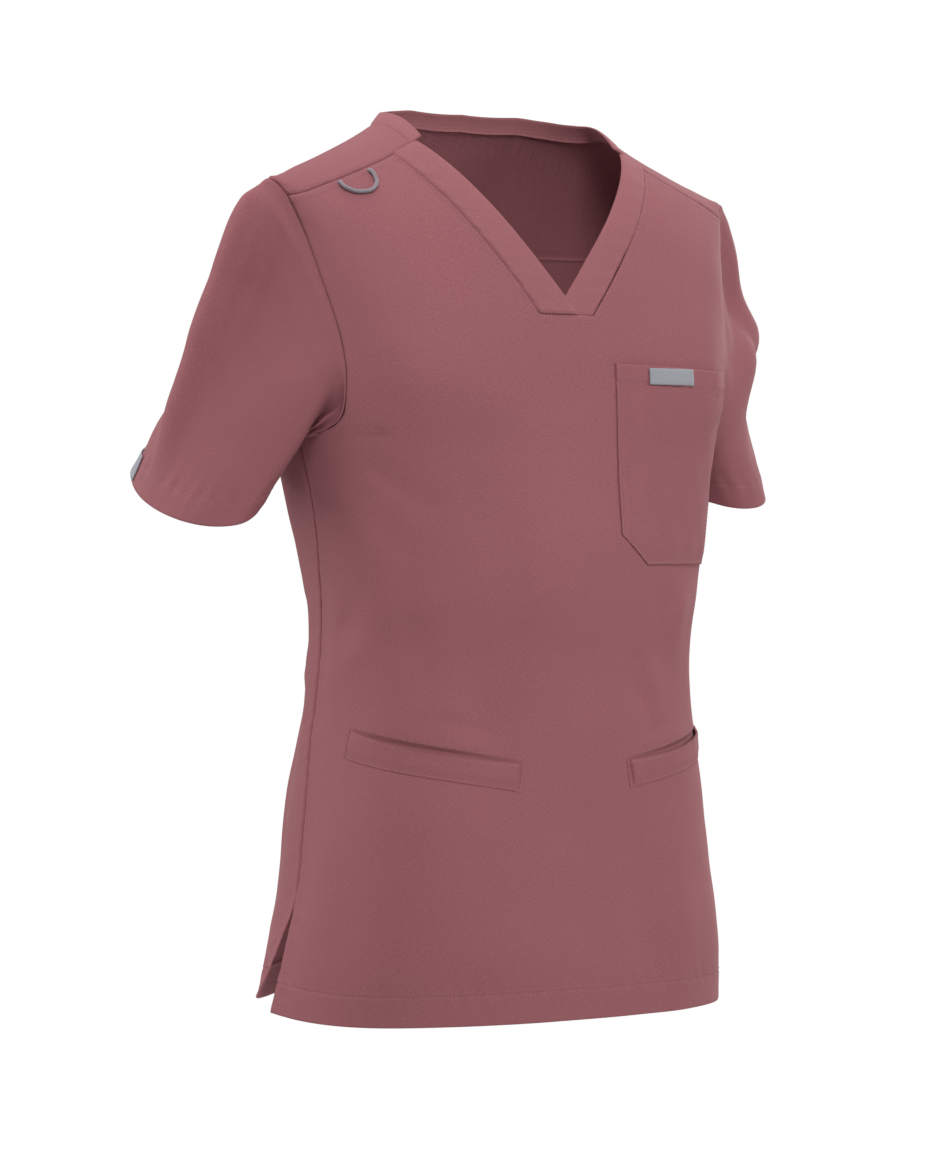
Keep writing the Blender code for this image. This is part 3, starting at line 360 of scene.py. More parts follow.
# the soft large forms of the cloth, in the same columns
DRAPE = (
    (-0.66, -0.200, -0.08, -0.205, 0.0360, 0.0082, 0.000),    # over the bust, and under it
    (0.06, -0.205, 0.62, -0.215, 0.0360, 0.0068, 0.000),
    (-0.78, -0.302, -0.04, -0.330, 0.0400, -0.0074, 0.006),
    (0.18, -0.340, 0.62, -0.330, 0.0300, -0.0035, 0.000),
    (-0.57, -0.325, -0.40, -0.450, 0.0220, -0.0042, 0.008),
    (-0.06, -0.205, -0.09, -0.520, 0.0210, 0.0052, 0.004),    # down the middle
    (0.02, -0.460, 0.03, -0.660, 0.0320, -0.0058, 0.004),
    (-0.90, -0.290, -0.92, -0.480, 0.0150, 0.0035, 0.003),    # beside the side seam
    (-0.80, -0.490, -0.86, -0.684, 0.0200, 0.0035, 0.004),
    (-0.46, -0.480, -0.44, -0.680, 0.0440, 0.0068, 0.000),    # below the welts
    (0.43, -0.540, 0.46, -0.684, 0.0300, 0.0045, 0.000),
    (0.46, -0.345, 0.44, -0.425, 0.0085, 0.0035, 0.002),      # from the chest pocket's foot
    (0.36, -0.345, 0.33, -0.430, 0.0100, -0.0029, -0.002),
    (0.23, -0.400, 0.29, -0.468, 0.0060, -0.0021, 0.002),
    (0.31, -0.400, 0.35, -0.466, 0.0060, 0.0019, 0.002),
    (1.44, -0.150, 1.58, -0.260, 0.0380, 0.0060, 0.000),      # shoulder blades and the back
    (-1.44, -0.150, -1.60, -0.255, 0.0380, 0.0060, 0.000),
    (1.84, -0.270, 1.88, -0.480, 0.0220, -0.0042, 0.006),
    (-1.90, -0.290, -1.86, -0.500, 0.0240, -0.0039, -0.006),
    (1.54, -0.430, 1.48, -0.670, 0.0320, 0.0051, 0.006),
    (-1.60, -0.410, -1.54, -0.680, 0.0340, 0.0048, -0.006),
    (1.22, -0.300, 1.20, -0.500, 0.0200, 0.0033, 0.003),
    (-1.20, -0.300, -1.22, -0.500, 0.0200, 0.0033, 0.003),
    (1.98, -0.480, 1.94, -0.670, 0.0260, 0.0036, 0.004),
)


def open_cloth(turn, level):
    """1 on the open panels, falling to 0 within 35 mm of the armholes and of the shoulder seams."""
    side = abs(turn)
    inside = np.where(side <= 1, armhole_turn(level) - side, side - 2 + armhole_turn(level, True))
    clear = np.maximum(ease(inside * ARC / 0.035), ease((ARM_LEVELS[0] - level) / 0.035))
    return clear * ease((np.where(side <= 1, -0.030, -0.112) - level) / 0.035)


def one_crease(px, py, ax, ay, half, bend, slack=0.62, onset=0.7):
    """Share t along the line (ax, ay), and the form exp(-(d/half)^2) * sin(pi t)^onset beside it.

    (px, py) is the place from the line's start and d its distance from the line bent by bend. The
    side where d is negative is wider by 1 / slack.
    """
    along = (px * ax + py * ay) / (ax * ax + ay * ay)
    off = (px * ay - py * ax) / np.hypot(ax, ay) - bend * np.sin(np.pi * along)
    t = np.clip(along, 0, 1)
    across = np.exp(-(off * np.where(off > 0, 1.0, slack) / half) ** 2)
    return t, across * np.clip(np.sin(np.pi * t), 0, 1) ** onset


def crease(turn, level, table, drift=1.0, onset=0.7):
    """Sum of the creases in a table; drift scales how much their depth wavers along them."""
    out = np.zeros(np.broadcast(turn, level).shape)
    for k, (t0, l0, t1, l1, half, depth, bend) in enumerate(table):
        t, form_out = one_crease((turn - t0) * ARC, level - l0, (t1 - t0) * ARC, l1 - l0, half, bend,
                                 onset=onset)
        waver = 0.30 * np.sin(9 * t + 2.1 * k) + 0.18 * np.sin(17 * t + 1.3 * k)
        out += depth * form_out * (1 + drift * waver)
    return out


def drape(turn, level):
    """The soft large forms, on the open panels only."""
    return open_cloth(turn, level) * crease(turn, level, DRAPE, drift=0.4, onset=1.4)


def dimple(turn, level):
    """Unevenness of hanging cloth: crossed waves of 40 to 110 mm, under half a millimetre."""
    x = turn * ARC
    return (0.00030 * np.sin(x * 71 + level * 39) * np.sin(level * 53 - x * 21)
            + 0.00016 * np.sin(x * 133 - level * 61 + 1.0) * np.sin(level * 97 + x * 40))


def relief(turn, level):
    """All soft and small forms that lie on the body panels."""
    in_front, behind = ease((1.05 - abs(turn)) / 0.10), ease((abs(turn) - 1.25) / 0.20)
    deep = 1 - SIDE_LESS + SIDE_LESS * in_front + (SIDE_LESS + BACK_MORE) * behind
    return deep * (crease(turn, level, CREASES) + drape(turn, level)) + dimple(turn, level)


def front_surface(turn, level, height=0.0):
    """Point and normal of the front panel: form + normal * (relief + corner flare + height)."""
    turn, level = np.broadcast_arrays(np.asarray(turn, float), np.asarray(level, float))
    normal = form_normals(turn, level)
    u = turn / np.where(level > ARM_LEVELS[0], 1.0, body(level, "side_turn"))
    below = np.clip((VENT - level) / (VENT - HEM), 0, 1)
    side = np.clip((abs(u) - FRONT_CORNER) / (1 - FRONT_CORNER), 0, 1)
    out = FRONT_FLARE * side**2 * below**1.5 + relief(turn, level) + height
    points = form(turn, level) + normal * out[..., None]
    points[..., 2] += FRONT_RISE * side**2 * below
    return points, normal


def back_surface(from_back, level):
    """Point and normal of the back panel, with its longer flaps at the vents."""
    from_back, level = np.broadcast_arrays(np.asarray(from_back, float), np.asarray(level, float))
    turn = 2 - from_back
    around = np.where(turn > 2, turn - 4, turn)
    normal = form_normals(turn, level)
    u = from_back / np.where(level > ARM_LEVELS[0], 1.0, 2 - body(level, "side_turn"))
    below = np.clip((VENT - level) / (VENT - HEM), 0, 1)
    side = np.clip((abs(u) - BACK_CORNER) / (1 - BACK_CORNER), 0, 1)
    flare = side**2 * below**1.3
    out = BACK_FLARE * flare + relief(around, level)
    points = form(turn, level) + normal * out[..., None]
    points[..., 1] += BACK_SWING * flare
    points[..., 2] += BACK_RISE * below + BACK_CORNER_RISE * flare
    return points, normal


# ---- meshes ------------------------------------------------------------------------------------

def make_mesh(name, points, quads, uv, material, slot="rose_cloth", replaces=()):
    """Object from point, face and pattern arrays, written with foreach_set."""
    mesh = bpy.data.meshes.new(name)
    mesh.vertices.add(len(points))
    mesh.vertices.foreach_set("co", np.ascontiguousarray(points, float).ravel())
    sides = quads.shape[1]
    mesh.loops.add(quads.size)
    mesh.loops.foreach_set("vertex_index", quads.ravel().astype(np.int32))
    mesh.polygons.add(len(quads))
    mesh.polygons.foreach_set("loop_start", (np.arange(len(quads)) * sides).astype(np.int32))
    mesh.update(calc_edges=True)
    layer = mesh.uv_layers.new(name="cloth")
    layer.uv.foreach_set("vector", uv[quads.ravel()].astype(np.float32).ravel())
    mesh.validate()
    mesh.shade_smooth()
    mesh.materials.append(material)
    item = bpy.data.objects.new(name, mesh)
    bpy.context.scene.collection.objects.link(item)
    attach(item, "root")
    if replaces:
        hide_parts(*replaces)
    return item


def wrapped(index):
    """Grid of point numbers with its first column again at the end."""
    return np.concatenate([index, index[:, :1]], 1)


def squares(index):
    """Faces between the points of a grid of point numbers."""
    return np.stack([index[:-1, :-1], index[:-1, 1:], index[1:, 1:], index[1:, :-1]], -1).reshape(-1, 4)


def line_run(points):
    """Distance along a line of points."""
    return np.concatenate([[0], np.cumsum(np.linalg.norm(np.diff(points, axis=0), axis=1))])


def edge_run(points, axis, last):
    """Distance of each point of a grid from its first or last line, summed along the axis."""
    step = np.linalg.norm(np.diff(points, axis=axis), axis=-1)
    run = np.cumsum(step, axis=axis)
    zero = np.zeros_like(np.take(run, [0], axis=axis))
    run = np.concatenate([zero, run], axis=axis)
    return np.take(run, [-1], axis=axis) - run if last else run


def uneven(run, start):
    """Uneven ripples along a line of sewing, -1 to 1: waves of 13 and 21 mm that drift."""
    return (0.6 * np.sin(run * 480 + 1.9 * np.sin(run * 43 + start))
            + 0.4 * np.sin(run * 300 + 2.4 * np.sin(run * 29 + 2 * start)))


SKINS = {}             # piece: points and normals of its outer side, for the sewing


def shell(name, points, normal, uv, material, thick=CLOTH, seams=None, tube=False, turned=None, **more):
    """Closed cloth: points +- normal * thick / 2, joined round its rims. SKINS keeps its outer side.

    Edges are t first row, b last row, l and r first and last column. seams gives the edges sewn to
    another piece, with a weight: there the cloth rolls in by SEAM_ROLL, swells a little 4 mm away
    and puckers. turned gives the depth and weight of turned-up hems, which are HEM_EXTRA thicker,
    dip along their line of sewing and thin out at the fold.
    """
    shift = np.zeros(points.shape[:2])
    thick = np.zeros(points.shape[:2]) + thick
    for edge, weight in (seams or {}).items():
        d = edge_run(points, 0 if edge in "tb" else 1, edge in "br")
        run = edge_run(points, 1 if edge in "tb" else 0, False) + 0.4 * d
        pucker = uneven(run, len(name)) * ease(d / 0.003) * np.exp(-d / 0.009)
        shift += weight * (SEAM_SWELL * np.exp(-((d - 0.004) / 0.0022) ** 2) + SEAM_PUCKER * pucker
                           - SEAM_ROLL * np.exp(-(d / SEAM_ROLL_WIDTH) ** 2))
    for edge, (deep, weight) in (turned or {}).items():
        d = edge_run(points, 0 if edge in "tb" else 1, edge in "br")
        run = edge_run(points, 1 if edge in "tb" else 0, False) + 0.5 * d
        pucker = uneven(run, len(name) + deep * 99) * np.exp(-abs(d - deep) / 0.008)
        shift += weight * (HEM_PUCKER * pucker
                           - HEM_GROOVE * np.exp(-((d - deep + FROM_FOLD) / 0.0011) ** 2))
        thick += weight * HEM_EXTRA * ease((deep + 0.001 - d) / 0.0014)
        thick *= 1 - weight * 0.45 * np.exp(-(d / 0.0007) ** 2)
    middle = points + normal * shift[..., None]
    outer, inner = middle + normal * thick[..., None] / 2, middle - normal * thick[..., None] / 2
    rows, columns = points.shape[:2]
    half = rows * columns
    index = np.arange(half).reshape(rows, columns)
    wide = wrapped(index) if tube else index
    top = squares(wide)
    skin = outer.reshape(-1, 3)
    corner = skin[top[:, 0]]
    facing = np.cross(skin[top[:, 1]] - corner, skin[top[:, 3]] - corner)
    rims = [(wide[0, 1:], wide[0, :-1]), (wide[-1, :-1], wide[-1, 1:])]
    if not tube:
        rims += [(index[:-1, 0], index[1:, 0]), (index[1:, -1], index[:-1, -1])]
    sides = [np.stack([p, q, q + half, p + half], 1) for p, q in rims]
    quads = np.concatenate([top, top[:, ::-1] + half] + sides)
    if (facing * normal.reshape(-1, 3)[top[:, 0]]).sum() < 0:
        quads = quads[:, ::-1]
    SKINS[name] = outer, normal
    flat = uv.reshape(-1, 2)
    return make_mesh(name, np.concatenate([skin, inner.reshape(-1, 3)]), quads,
                     np.concatenate([flat, flat]), material, **more)


STITCHES = []          # for each row: places, directions along, across and out


def sew(points, normal):
    """Lays a row of stitches along a line, one every STITCH_PITCH."""
    run = line_run(points)
    at = np.arange(STITCH_PITCH / 2, run[-1], STITCH_PITCH)

    def pick(values, where):
        return np.stack([np.interp(where, run, values[:, k]) for k in range(3)], 1)

    out = unit(pick(normal, at))
    along = unit(pick(points, at + 0.0008) - pick(points, at - 0.0008))
    STITCHES.append((pick(points, at), along, unit(np.cross(out, along)), out))


def make_stitches(name, material):
    """All stitches as one piece: rings of 6 round each axis, thinner and sunk in at both ends."""
    s = np.array([0.0, 0.12, 0.32, 0.5, 0.68, 0.88, 1.0])
    radius = THREAD * np.array([0.25, 0.8, 1.0, 1.05, 1.0, 0.8, 0.25])
    sink = -0.00030 * (2 * s - 1) ** 4
    angle = np.arange(6) / 6 * 2 * np.pi
    blocks, uvs = [], []
    for line, along, across, out in STITCHES:
        ring = (across[:, None, None] * np.cos(angle)[None, None, :, None] * 1.25
                + out[:, None, None] * np.sin(angle)[None, None, :, None]) * radius[None, :, None, None]
        axis = (line[:, None] + along[:, None] * ((s - 0.5) * STITCH_LENGTH)[None, :, None]
                + out[:, None] * sink[None, :, None])
        blocks.append((axis[:, :, None] + ring).reshape(-1, 3))
        uvs.append(np.broadcast_to(np.stack(np.meshgrid(angle / 6, s), -1)[None],
                                   (len(line), len(s), 6, 2)).reshape(-1, 2))
    points, uv = np.concatenate(blocks), np.concatenate(uvs)
    count = len(points) // (len(s) * 6)
    ring, side = np.meshgrid(np.arange(len(s) - 1), np.arange(6), indexing="ij")
    a = ring * 6 + side
    b = ring * 6 + (side + 1) % 6
    tube = np.stack([a, b, b + 6, a + 6], -1).reshape(-1, 4)
    end = (len(s) - 1) * 6
    caps = np.array([[0, 5, 4, 3], [0, 3, 2, 1], [end, end + 1, end + 2, end + 3],
                     [end, end + 3, end + 4, end + 5]])
    one = np.concatenate([tube, caps])[:, ::-1]
    quads = (one[None] + (np.arange(count) * len(s) * 6)[:, None, None]).reshape(-1, 4)
    return make_mesh(name, points, quads, uv, material)


# ---- materials ---------------------------------------------------------------------------------

def linear(hexes):
    """sRGB hex to linear: ((c + 0.055) / 1.055)^2.4."""
    c = np.array([int(hexes[k:k + 2], 16) / 255 for k in (0, 2, 4)])
    c = np.where(c < 0.04045, c / 12.92, ((c + 0.055) / 1.055) ** 2.4)
    return (*[float(v) for v in c], 1.0)


def fill(tree, node, inputs):
    """Sets a node's inputs: each is a value, or the socket it is linked from."""
    for key, value in inputs.items():
        if isinstance(value, bpy.types.NodeSocket):
            tree.links.new(value, node.inputs[key])
        else:
            node.inputs[key].default_value = value


def add(tree, kind, inputs=None, **settings):
    """New node with its settings and inputs."""
    new = tree.nodes.new(kind)
    for key, value in settings.items():
        setattr(new, key, value)
    fill(tree, new, inputs or {})
    return new


def new_material(name):
    """Material with an empty tree, its principled shader and its output."""
    material = bpy.data.materials.new(name)
    material.use_nodes = True
    tree = material.node_tree
    tree.nodes.clear()
    shader = add(tree, "ShaderNodeBsdfPrincipled")
    add(tree, "ShaderNodeOutputMaterial", {"Surface": shader.outputs["BSDF"]})
    return material, tree, shader


def cloth_material(name, dark, light, speck):
    """Polyester, rayon and elastane twill, piece dyed: matt, with a fine slanting rib, and slightly
    heathered because rayon and polyester take the dye differently."""
    material, tree, shader = new_material(name)
    place = add(tree, "ShaderNodeUVMap", uv_map="cloth").outputs["UV"]
    # twill rib every 0.5 mm
    rib = add(tree, "ShaderNodeTexWave", {"Vector": place, "Scale": 889.0, "Distortion": 1.2,
              "Detail": 1.0, "Detail Scale": 3.0}, bands_direction="DIAGONAL").outputs["Fac"]
    # heather: flecks about 0.6 by 2 mm that run along the warp, crossed by those of the weft
    flecks = []
    for scale in ((1700.0, 480.0, 1.0), (420.0, 1800.0, 1.0)):
        thread = add(tree, "ShaderNodeMapping", {"Vector": place, "Scale": scale}).outputs["Vector"]
        noise = add(tree, "ShaderNodeTexNoise", {"Vector": thread, "Scale": 1.0, "Detail": 2.0})
        flecks.append(noise.outputs["Fac"])
    both = add(tree, "ShaderNodeMath", {0: flecks[0], 1: flecks[1]}, operation="MULTIPLY").outputs[0]
    shade = add(tree, "ShaderNodeMapRange", {"Value": both, "From Min": 0.13, "From Max": 0.40})
    tone = add(tree, "ShaderNodeMix", {0: shade.outputs["Result"], 6: linear(dark), 7: linear(light)},
               data_type="RGBA").outputs[2]
    height = add(tree, "ShaderNodeMath", {0: rib, 1: both}, operation="ADD").outputs[0]
    bump = add(tree, "ShaderNodeBump", {"Height": height, "Strength": 0.25, "Distance": 0.00006})
    # the surface swells and sinks a little over about 60 mm
    slow = add(tree, "ShaderNodeTexNoise", {"Vector": place, "Scale": 16.0, "Detail": 3.0}).outputs["Fac"]
    swell = add(tree, "ShaderNodeBump", {"Height": slow, "Strength": 0.30, "Distance": 0.003,
                                         "Normal": bump.outputs["Normal"]})
    rough = add(tree, "ShaderNodeMapRange", {"Value": both, "To Min": 0.86, "To Max": 0.74})
    fill(tree, shader, {"Base Color": tone, "Normal": swell.outputs["Normal"],
                        "Roughness": rough.outputs["Result"], "Specular IOR Level": 0.30,
                        "Sheen Weight": 0.22, "Sheen Roughness": 0.45, "Sheen Tint": linear(speck)})
    return material


def woven_material(name, dark, light, step, sheen):
    """Woven polyester tape or label: satin face, with fine ribs one weft thread apart."""
    material, tree, shader = new_material(name)
    place = add(tree, "ShaderNodeUVMap", uv_map="cloth").outputs["UV"]
    rib = add(tree, "ShaderNodeTexWave", {"Vector": place, "Scale": 0.314 / step, "Distortion": 0.6,
              "Detail": 1.0}, bands_direction="Y").outputs["Fac"]
    grain = add(tree, "ShaderNodeTexNoise", {"Vector": place, "Scale": 700.0, "Detail": 3.0}).outputs["Fac"]
    both = add(tree, "ShaderNodeMath", {0: rib, 1: grain}, operation="MULTIPLY").outputs[0]
    tone = add(tree, "ShaderNodeMix", {0: both, 6: linear(dark), 7: linear(light)}, data_type="RGBA")
    bump = add(tree, "ShaderNodeBump", {"Height": both, "Strength": 0.6, "Distance": 0.00025})
    fill(tree, shader, {"Base Color": tone.outputs[2], "Normal": bump.outputs["Normal"],
                        "Roughness": 0.55, "Sheen Weight": sheen, "Specular IOR Level": 0.45})
    return material


CLOTH_ROSE = cloth_material("scrub_twill_dusty_rose", "8b545a", "9a5f65", "c99a9a")
BAND_ROSE = cloth_material("scrub_twill_on_the_cross", "8e575c", "9f6468", "c99a9a")
THREAD_ROSE = woven_material("spun_polyester_sewing_thread", "94585e", "bb8083", 0.0006, 0.3)
GREY_LABEL = woven_material("damask_woven_label", "8b8d94", "afb1b8", 0.00045, 0.2)
GREY_CORD = woven_material("braided_round_elastic_cord", "6c626a", "b3aab2", 0.0011, 0.3)


# ---- panels ------------------------------------------------------------------------------------

def thicken(n, far_only=False):
    """n + 1 shares from 0 to 1, drawn together at both ends or at the far end only."""
    t = np.linspace(0, 1, n + 1)
    return 1 - (1 - t) ** 1.6 if far_only else t - 0.85 * np.sin(2 * np.pi * t) / (2 * np.pi)


def line_from_edge(name, edge, d, start=0, stop=None):
    """Points start to stop of the line at the distance d from an edge of a piece, with normals."""
    grid, out = SKINS[name] if edge in "tb" else (part.swapaxes(0, 1) for part in SKINS[name])
    run = edge_run(grid, 0, edge in "br")
    if edge in "br":
        grid, out, run = grid[::-1], out[::-1], run[::-1]
    k = np.clip((run < d).sum(0) - 1, 0, len(run) - 2)
    j = np.arange(run.shape[1])
    t = ((d - run[k, j]) / (run[k + 1, j] - run[k, j] + 1e-12))[:, None]
    line = grid[k, j] * (1 - t) + grid[k + 1, j] * t
    return line[start:stop], unit(out[k, j] * (1 - t) + out[k + 1, j] * t)[start:stop]


def panel_uv(turn, level):
    """Pattern place in metres: turn * ARC across the cloth, level along it."""
    return np.stack(np.broadcast_arrays(turn * ARC, level), -1)


def graded(low, high, step, zones):
    """Levels step apart, and closer in and near the zones (from, to, step there).

    The density is 1 / step, or exp(-(d / 10 mm)^2) / (step there) where that is more, with d the
    distance from the zone.
    """
    x = np.linspace(low, high, 6000)
    density = np.full(x.shape, 1 / step)
    for start, end, fine in zones:
        outside = np.maximum(np.maximum(start - x, x - end), 0)
        density = np.maximum(density, np.exp(-(outside / 0.010) ** 2) / fine)
    total = np.concatenate([[0], np.cumsum((density[1:] + density[:-1]) / 2 * np.diff(x))])
    return np.interp(np.linspace(0, total[-1], int(total[-1]) + 1), total, x)


LOWER = graded(HEM, ARM_LEVELS[0], 0.0031, (   # the fold of the hem, its sewing, the pocket slits
    (HEM, HEM + 0.002, 0.0007), (HEM + 0.018, HEM + 0.029, 0.0009), (-0.4945, -0.4590, 0.0010)))[:-1]


def lens(across):
    """How far a lower pocket's slit is open: 0 at both ends and 1 in the middle."""
    return np.sin(np.pi * np.clip(across, 0, 1)) ** 0.8


def mouth(turn, level):
    """Slit behind each welt: the front sinks in along the welt's upper edge."""
    across = (abs(turn) - WELT_TURNS[0]) / (WELT_TURNS[1] - WELT_TURNS[0])
    above = level - (WELT_TOP_Z[0] + (WELT_TOP_Z[1] - WELT_TOP_Z[0]) * across)
    return -0.0020 * lens(across) * np.exp(-(above / np.where(above > 0, 0.0016, 0.0090)) ** 2)


def panel_rows(u, tops, tip_level, rows, side_turn, back):
    """Turn and level of a body panel: rows level with the floor up to the armholes, then rows that
    rise to its top. u is a column's share of the half width, tip_level the armhole's upper end."""
    base = ARM_LEVELS[0]
    share = thicken(rows)
    share = share * (1 - 0.75 * (1 - share) ** 8)
    edge_turn = armhole_turn(base + (tip_level - base) * share, back)
    level = np.concatenate([np.repeat(LOWER[:, None], len(u), 1),
                            base + (tops - base)[None, :] * share[:, None]])
    return u[None, :] * np.concatenate([side_turn, edge_turn])[:, None], level


def body_panel(name, surface, turn, level, top_seam, node):
    """Shell of the front or the back: side seams above the vents, a hem, hems beside the vents."""
    above_vent = ease((level - VENT) / 0.006)
    side_seam = above_vent * (1 + SIDE_SEAM_EXTRA * ease((ARM_LEVELS[0] - level) / 0.010))
    vent_hem = VENT_DEPTH, 1 - above_vent
    return shell(name, *surface, panel_uv(turn, level), CLOTH_ROSE,
                 seams={"l": side_seam, "r": side_seam, "b": top_seam},
                 turned={"t": (HEM_DEPTH, 1.0), "l": vent_hem, "r": vent_hem}, replaces=(node,))


def make_front():
    """Front panel: rows scale from the side seams or armholes, columns rise to the V."""
    v_turn, v_level = v_line(V_OUTER_TOP_X, V_OUTER_END, np.linspace(0, 1, 31))
    middle = np.linspace(0, v_turn[0], 9)[:-1]
    side = v_turn[-1] + (ARM_TIP - v_turn[-1]) * thicken(44, far_only=True)[1:]
    turns = np.concatenate([middle, v_turn, side])
    tops = np.concatenate([level_at(middle, V_OUTER_END[1]), v_level, np.full(len(side), SEAM_LEVEL)])
    turns = np.concatenate([-turns[:0:-1], turns])
    tops = np.concatenate([tops[:0:-1], tops])
    turn, level = panel_rows(turns / ARM_TIP, tops, SEAM_LEVEL, 76, body(LOWER, "side_turn"), False)
    return body_panel("front_panel", front_surface(turn, level, mouth(turn, level)), turn, level,
                      1.0, "front")


def make_back():
    """Back panel below the yoke: rows scale from the side seams or armholes."""
    half = BACK_TIP * thicken(78, far_only=True)
    turns = np.concatenate([-half[:0:-1], half])
    from_back, level = panel_rows(turns / BACK_TIP, back_seam_level(turns), BACK_TIP_LEVEL, 56,
                                  2 - body(LOWER, "side_turn"), True)
    return body_panel("back_panel", back_surface(from_back, level), 2 - from_back, level, 0.5, "back")


def yoke_lines(t):
    """Neckline and outer line of the yoke's left half at t from 0, forward seam, to 1, back centre.

    The neckline crosses the ridge at YOKE_LEAD, the outer line leaves the armhole at YOKE_ARM.
    """
    lead, arm = YOKE_LEAD, YOKE_ARM
    reach_end = float(level_reach(BACK_TIP_LEVEL))
    angle = np.clip((t - lead) / (1 - lead), 0, 1) * np.pi / 2
    inner_turn = NECK_TURN * np.clip(np.cos(angle), 0, 1) ** (2 / NECK_SQUARE)
    inner_reach = np.where(t < lead, -SEAM_REACH * (1 - t / lead),
                           NECK_BACK_REACH * np.sin(angle) ** (2 / NECK_SQUARE))
    arm_reach = -SEAM_REACH + (reach_end + SEAM_REACH) * np.clip(t / arm, 0, 1)
    back_turn = BACK_TIP * (1 - np.clip((t - arm) / (1 - arm), 0, 1))
    level = reach_level(arm_reach)
    outer_turn = np.where(t < arm, np.where(arm_reach < 0, armhole_turn(level),
                                            armhole_turn(level, True)), back_turn)
    outer_reach = np.where(t < arm, arm_reach, level_reach(back_seam_level(back_turn)))
    return inner_turn, inner_reach, outer_turn, outer_reach


def both_halves(values, sign=1):
    """A left half from the front to the back centre, and its mirror half back to the front."""
    return np.concatenate([values, sign * values[-2::-1]])


def make_yoke():
    """Yoke: straight lines of the chart from the neckline to the armholes and the back seam."""
    t = np.linspace(0, 1, 151)
    inner_turn, inner_reach, outer_turn, outer_reach = yoke_lines(t)
    share = thicken(64)[None, :]
    turn = both_halves(inner_turn[:, None] + (outer_turn - inner_turn)[:, None] * share, -1)
    reach = both_halves(inner_reach[:, None] + (outer_reach - inner_reach)[:, None] * share)
    points = over_shoulder(turn, reach)
    normal = normals(over_shoulder, turn, reach)
    points = points + normal * dimple(turn + 0.4, reach * 0.12)[..., None]
    across_back = ease((both_halves(t)[:, None] - YOKE_ARM) / 0.03)
    return shell("shoulder_yoke", points, normal,
                 np.stack([points[..., 0], points[..., 1] + 0.7 * points[..., 2]], -1), CLOTH_ROSE,
                 seams={"t": 1.0, "b": 1.0, "l": 0.8, "r": 1 - 0.5 * across_back},
                 replaces=("yoke",))


def make_neck_band(name, side, under, node):
    """Front neckband: folded strip between the outer and the inner edge of the V.

    At the foot of the V it lies lower by under.
    """
    share = np.linspace(0, 1, 121)
    across = thicken(22)
    lines = [v_line(V_OUTER_TOP_X + (V_INNER_TOP_X - V_OUTER_TOP_X) * a,
                    (V_OUTER_END[0] + (V_INNER_END[0] - V_OUTER_END[0]) * a, V_OUTER_END[1]), share)
             for a in across]
    turn = np.stack([row[0] for row in lines]) * side
    level = np.stack([row[1] for row in lines])
    normal = form_normals(turn, level)
    share, across = share[None, :], across[:, None]
    dive = ease((0.60 - share) / 0.30) * under
    height = (drape(turn, level) + 0.0006 * np.sin(np.pi * across) - dive
              + 0.0002 * np.sin(share * 60) * (1 - across))
    points = form(turn, level) + normal * height[..., None]
    thick = 0.0021 - 0.0012 * np.exp(-((1 - across) / 0.05) ** 2) + 0 * share
    uv = np.stack(np.broadcast_arrays(share * BAND_RUN, across * BAND_DEEP), -1)
    return shell(name, points, normal, uv, BAND_ROSE, thick=thick,
                 seams={"t": 1.0, "l": 0.0 if under else 1.0}, replaces=(node,))


def make_back_neckband():
    """Back neckband: stands up from the yoke's neckline by its lean and rise."""
    turn, reach = yoke_lines(np.linspace(0, 1, 121))[:2]
    turn, reach = both_halves(turn, -1), both_halves(reach)
    place = over_shoulder(turn, reach)
    along = np.gradient(place, axis=0)
    inward = unit(np.stack([along[:, 1], -along[:, 0], 0 * turn], -1))
    inward *= np.sign((inward * -(place - [0, -0.01, 0])).sum(-1))[:, None]
    lean, rise = smooth(reach, BAND[:, 0], BAND[:, 1]), smooth(reach, BAND[:, 0], BAND[:, 2])
    step = inward * lean[:, None] + np.stack([0 * lean, 0 * lean, rise], -1)
    out = unit(np.cross(along, step))
    out *= -np.sign((out * inward).sum(-1))[:, None]
    share = thicken(20)[:, None, None]
    crown = 0.0007 * np.sin(np.pi * share)
    points = place[None] + step[None] * (-0.10 + 1.10 * share) + out[None] * crown
    normal = np.repeat(out[None], len(share), 0)
    thick = 0.0019 - 0.0011 * np.exp(-((1 - share[..., 0]) / 0.06) ** 2) + 0 * turn[None, :]
    uv = np.stack(np.broadcast_arrays(line_run(place)[None, :], share[..., 0] * BACK_BAND_DEEP), -1)
    return shell("back_neckband_strip", points, normal, uv, BAND_ROSE, thick=thick,
                 seams={"t": 0.35}, replaces=("back_neckband",))


# ---- sleeves -----------------------------------------------------------------------------------

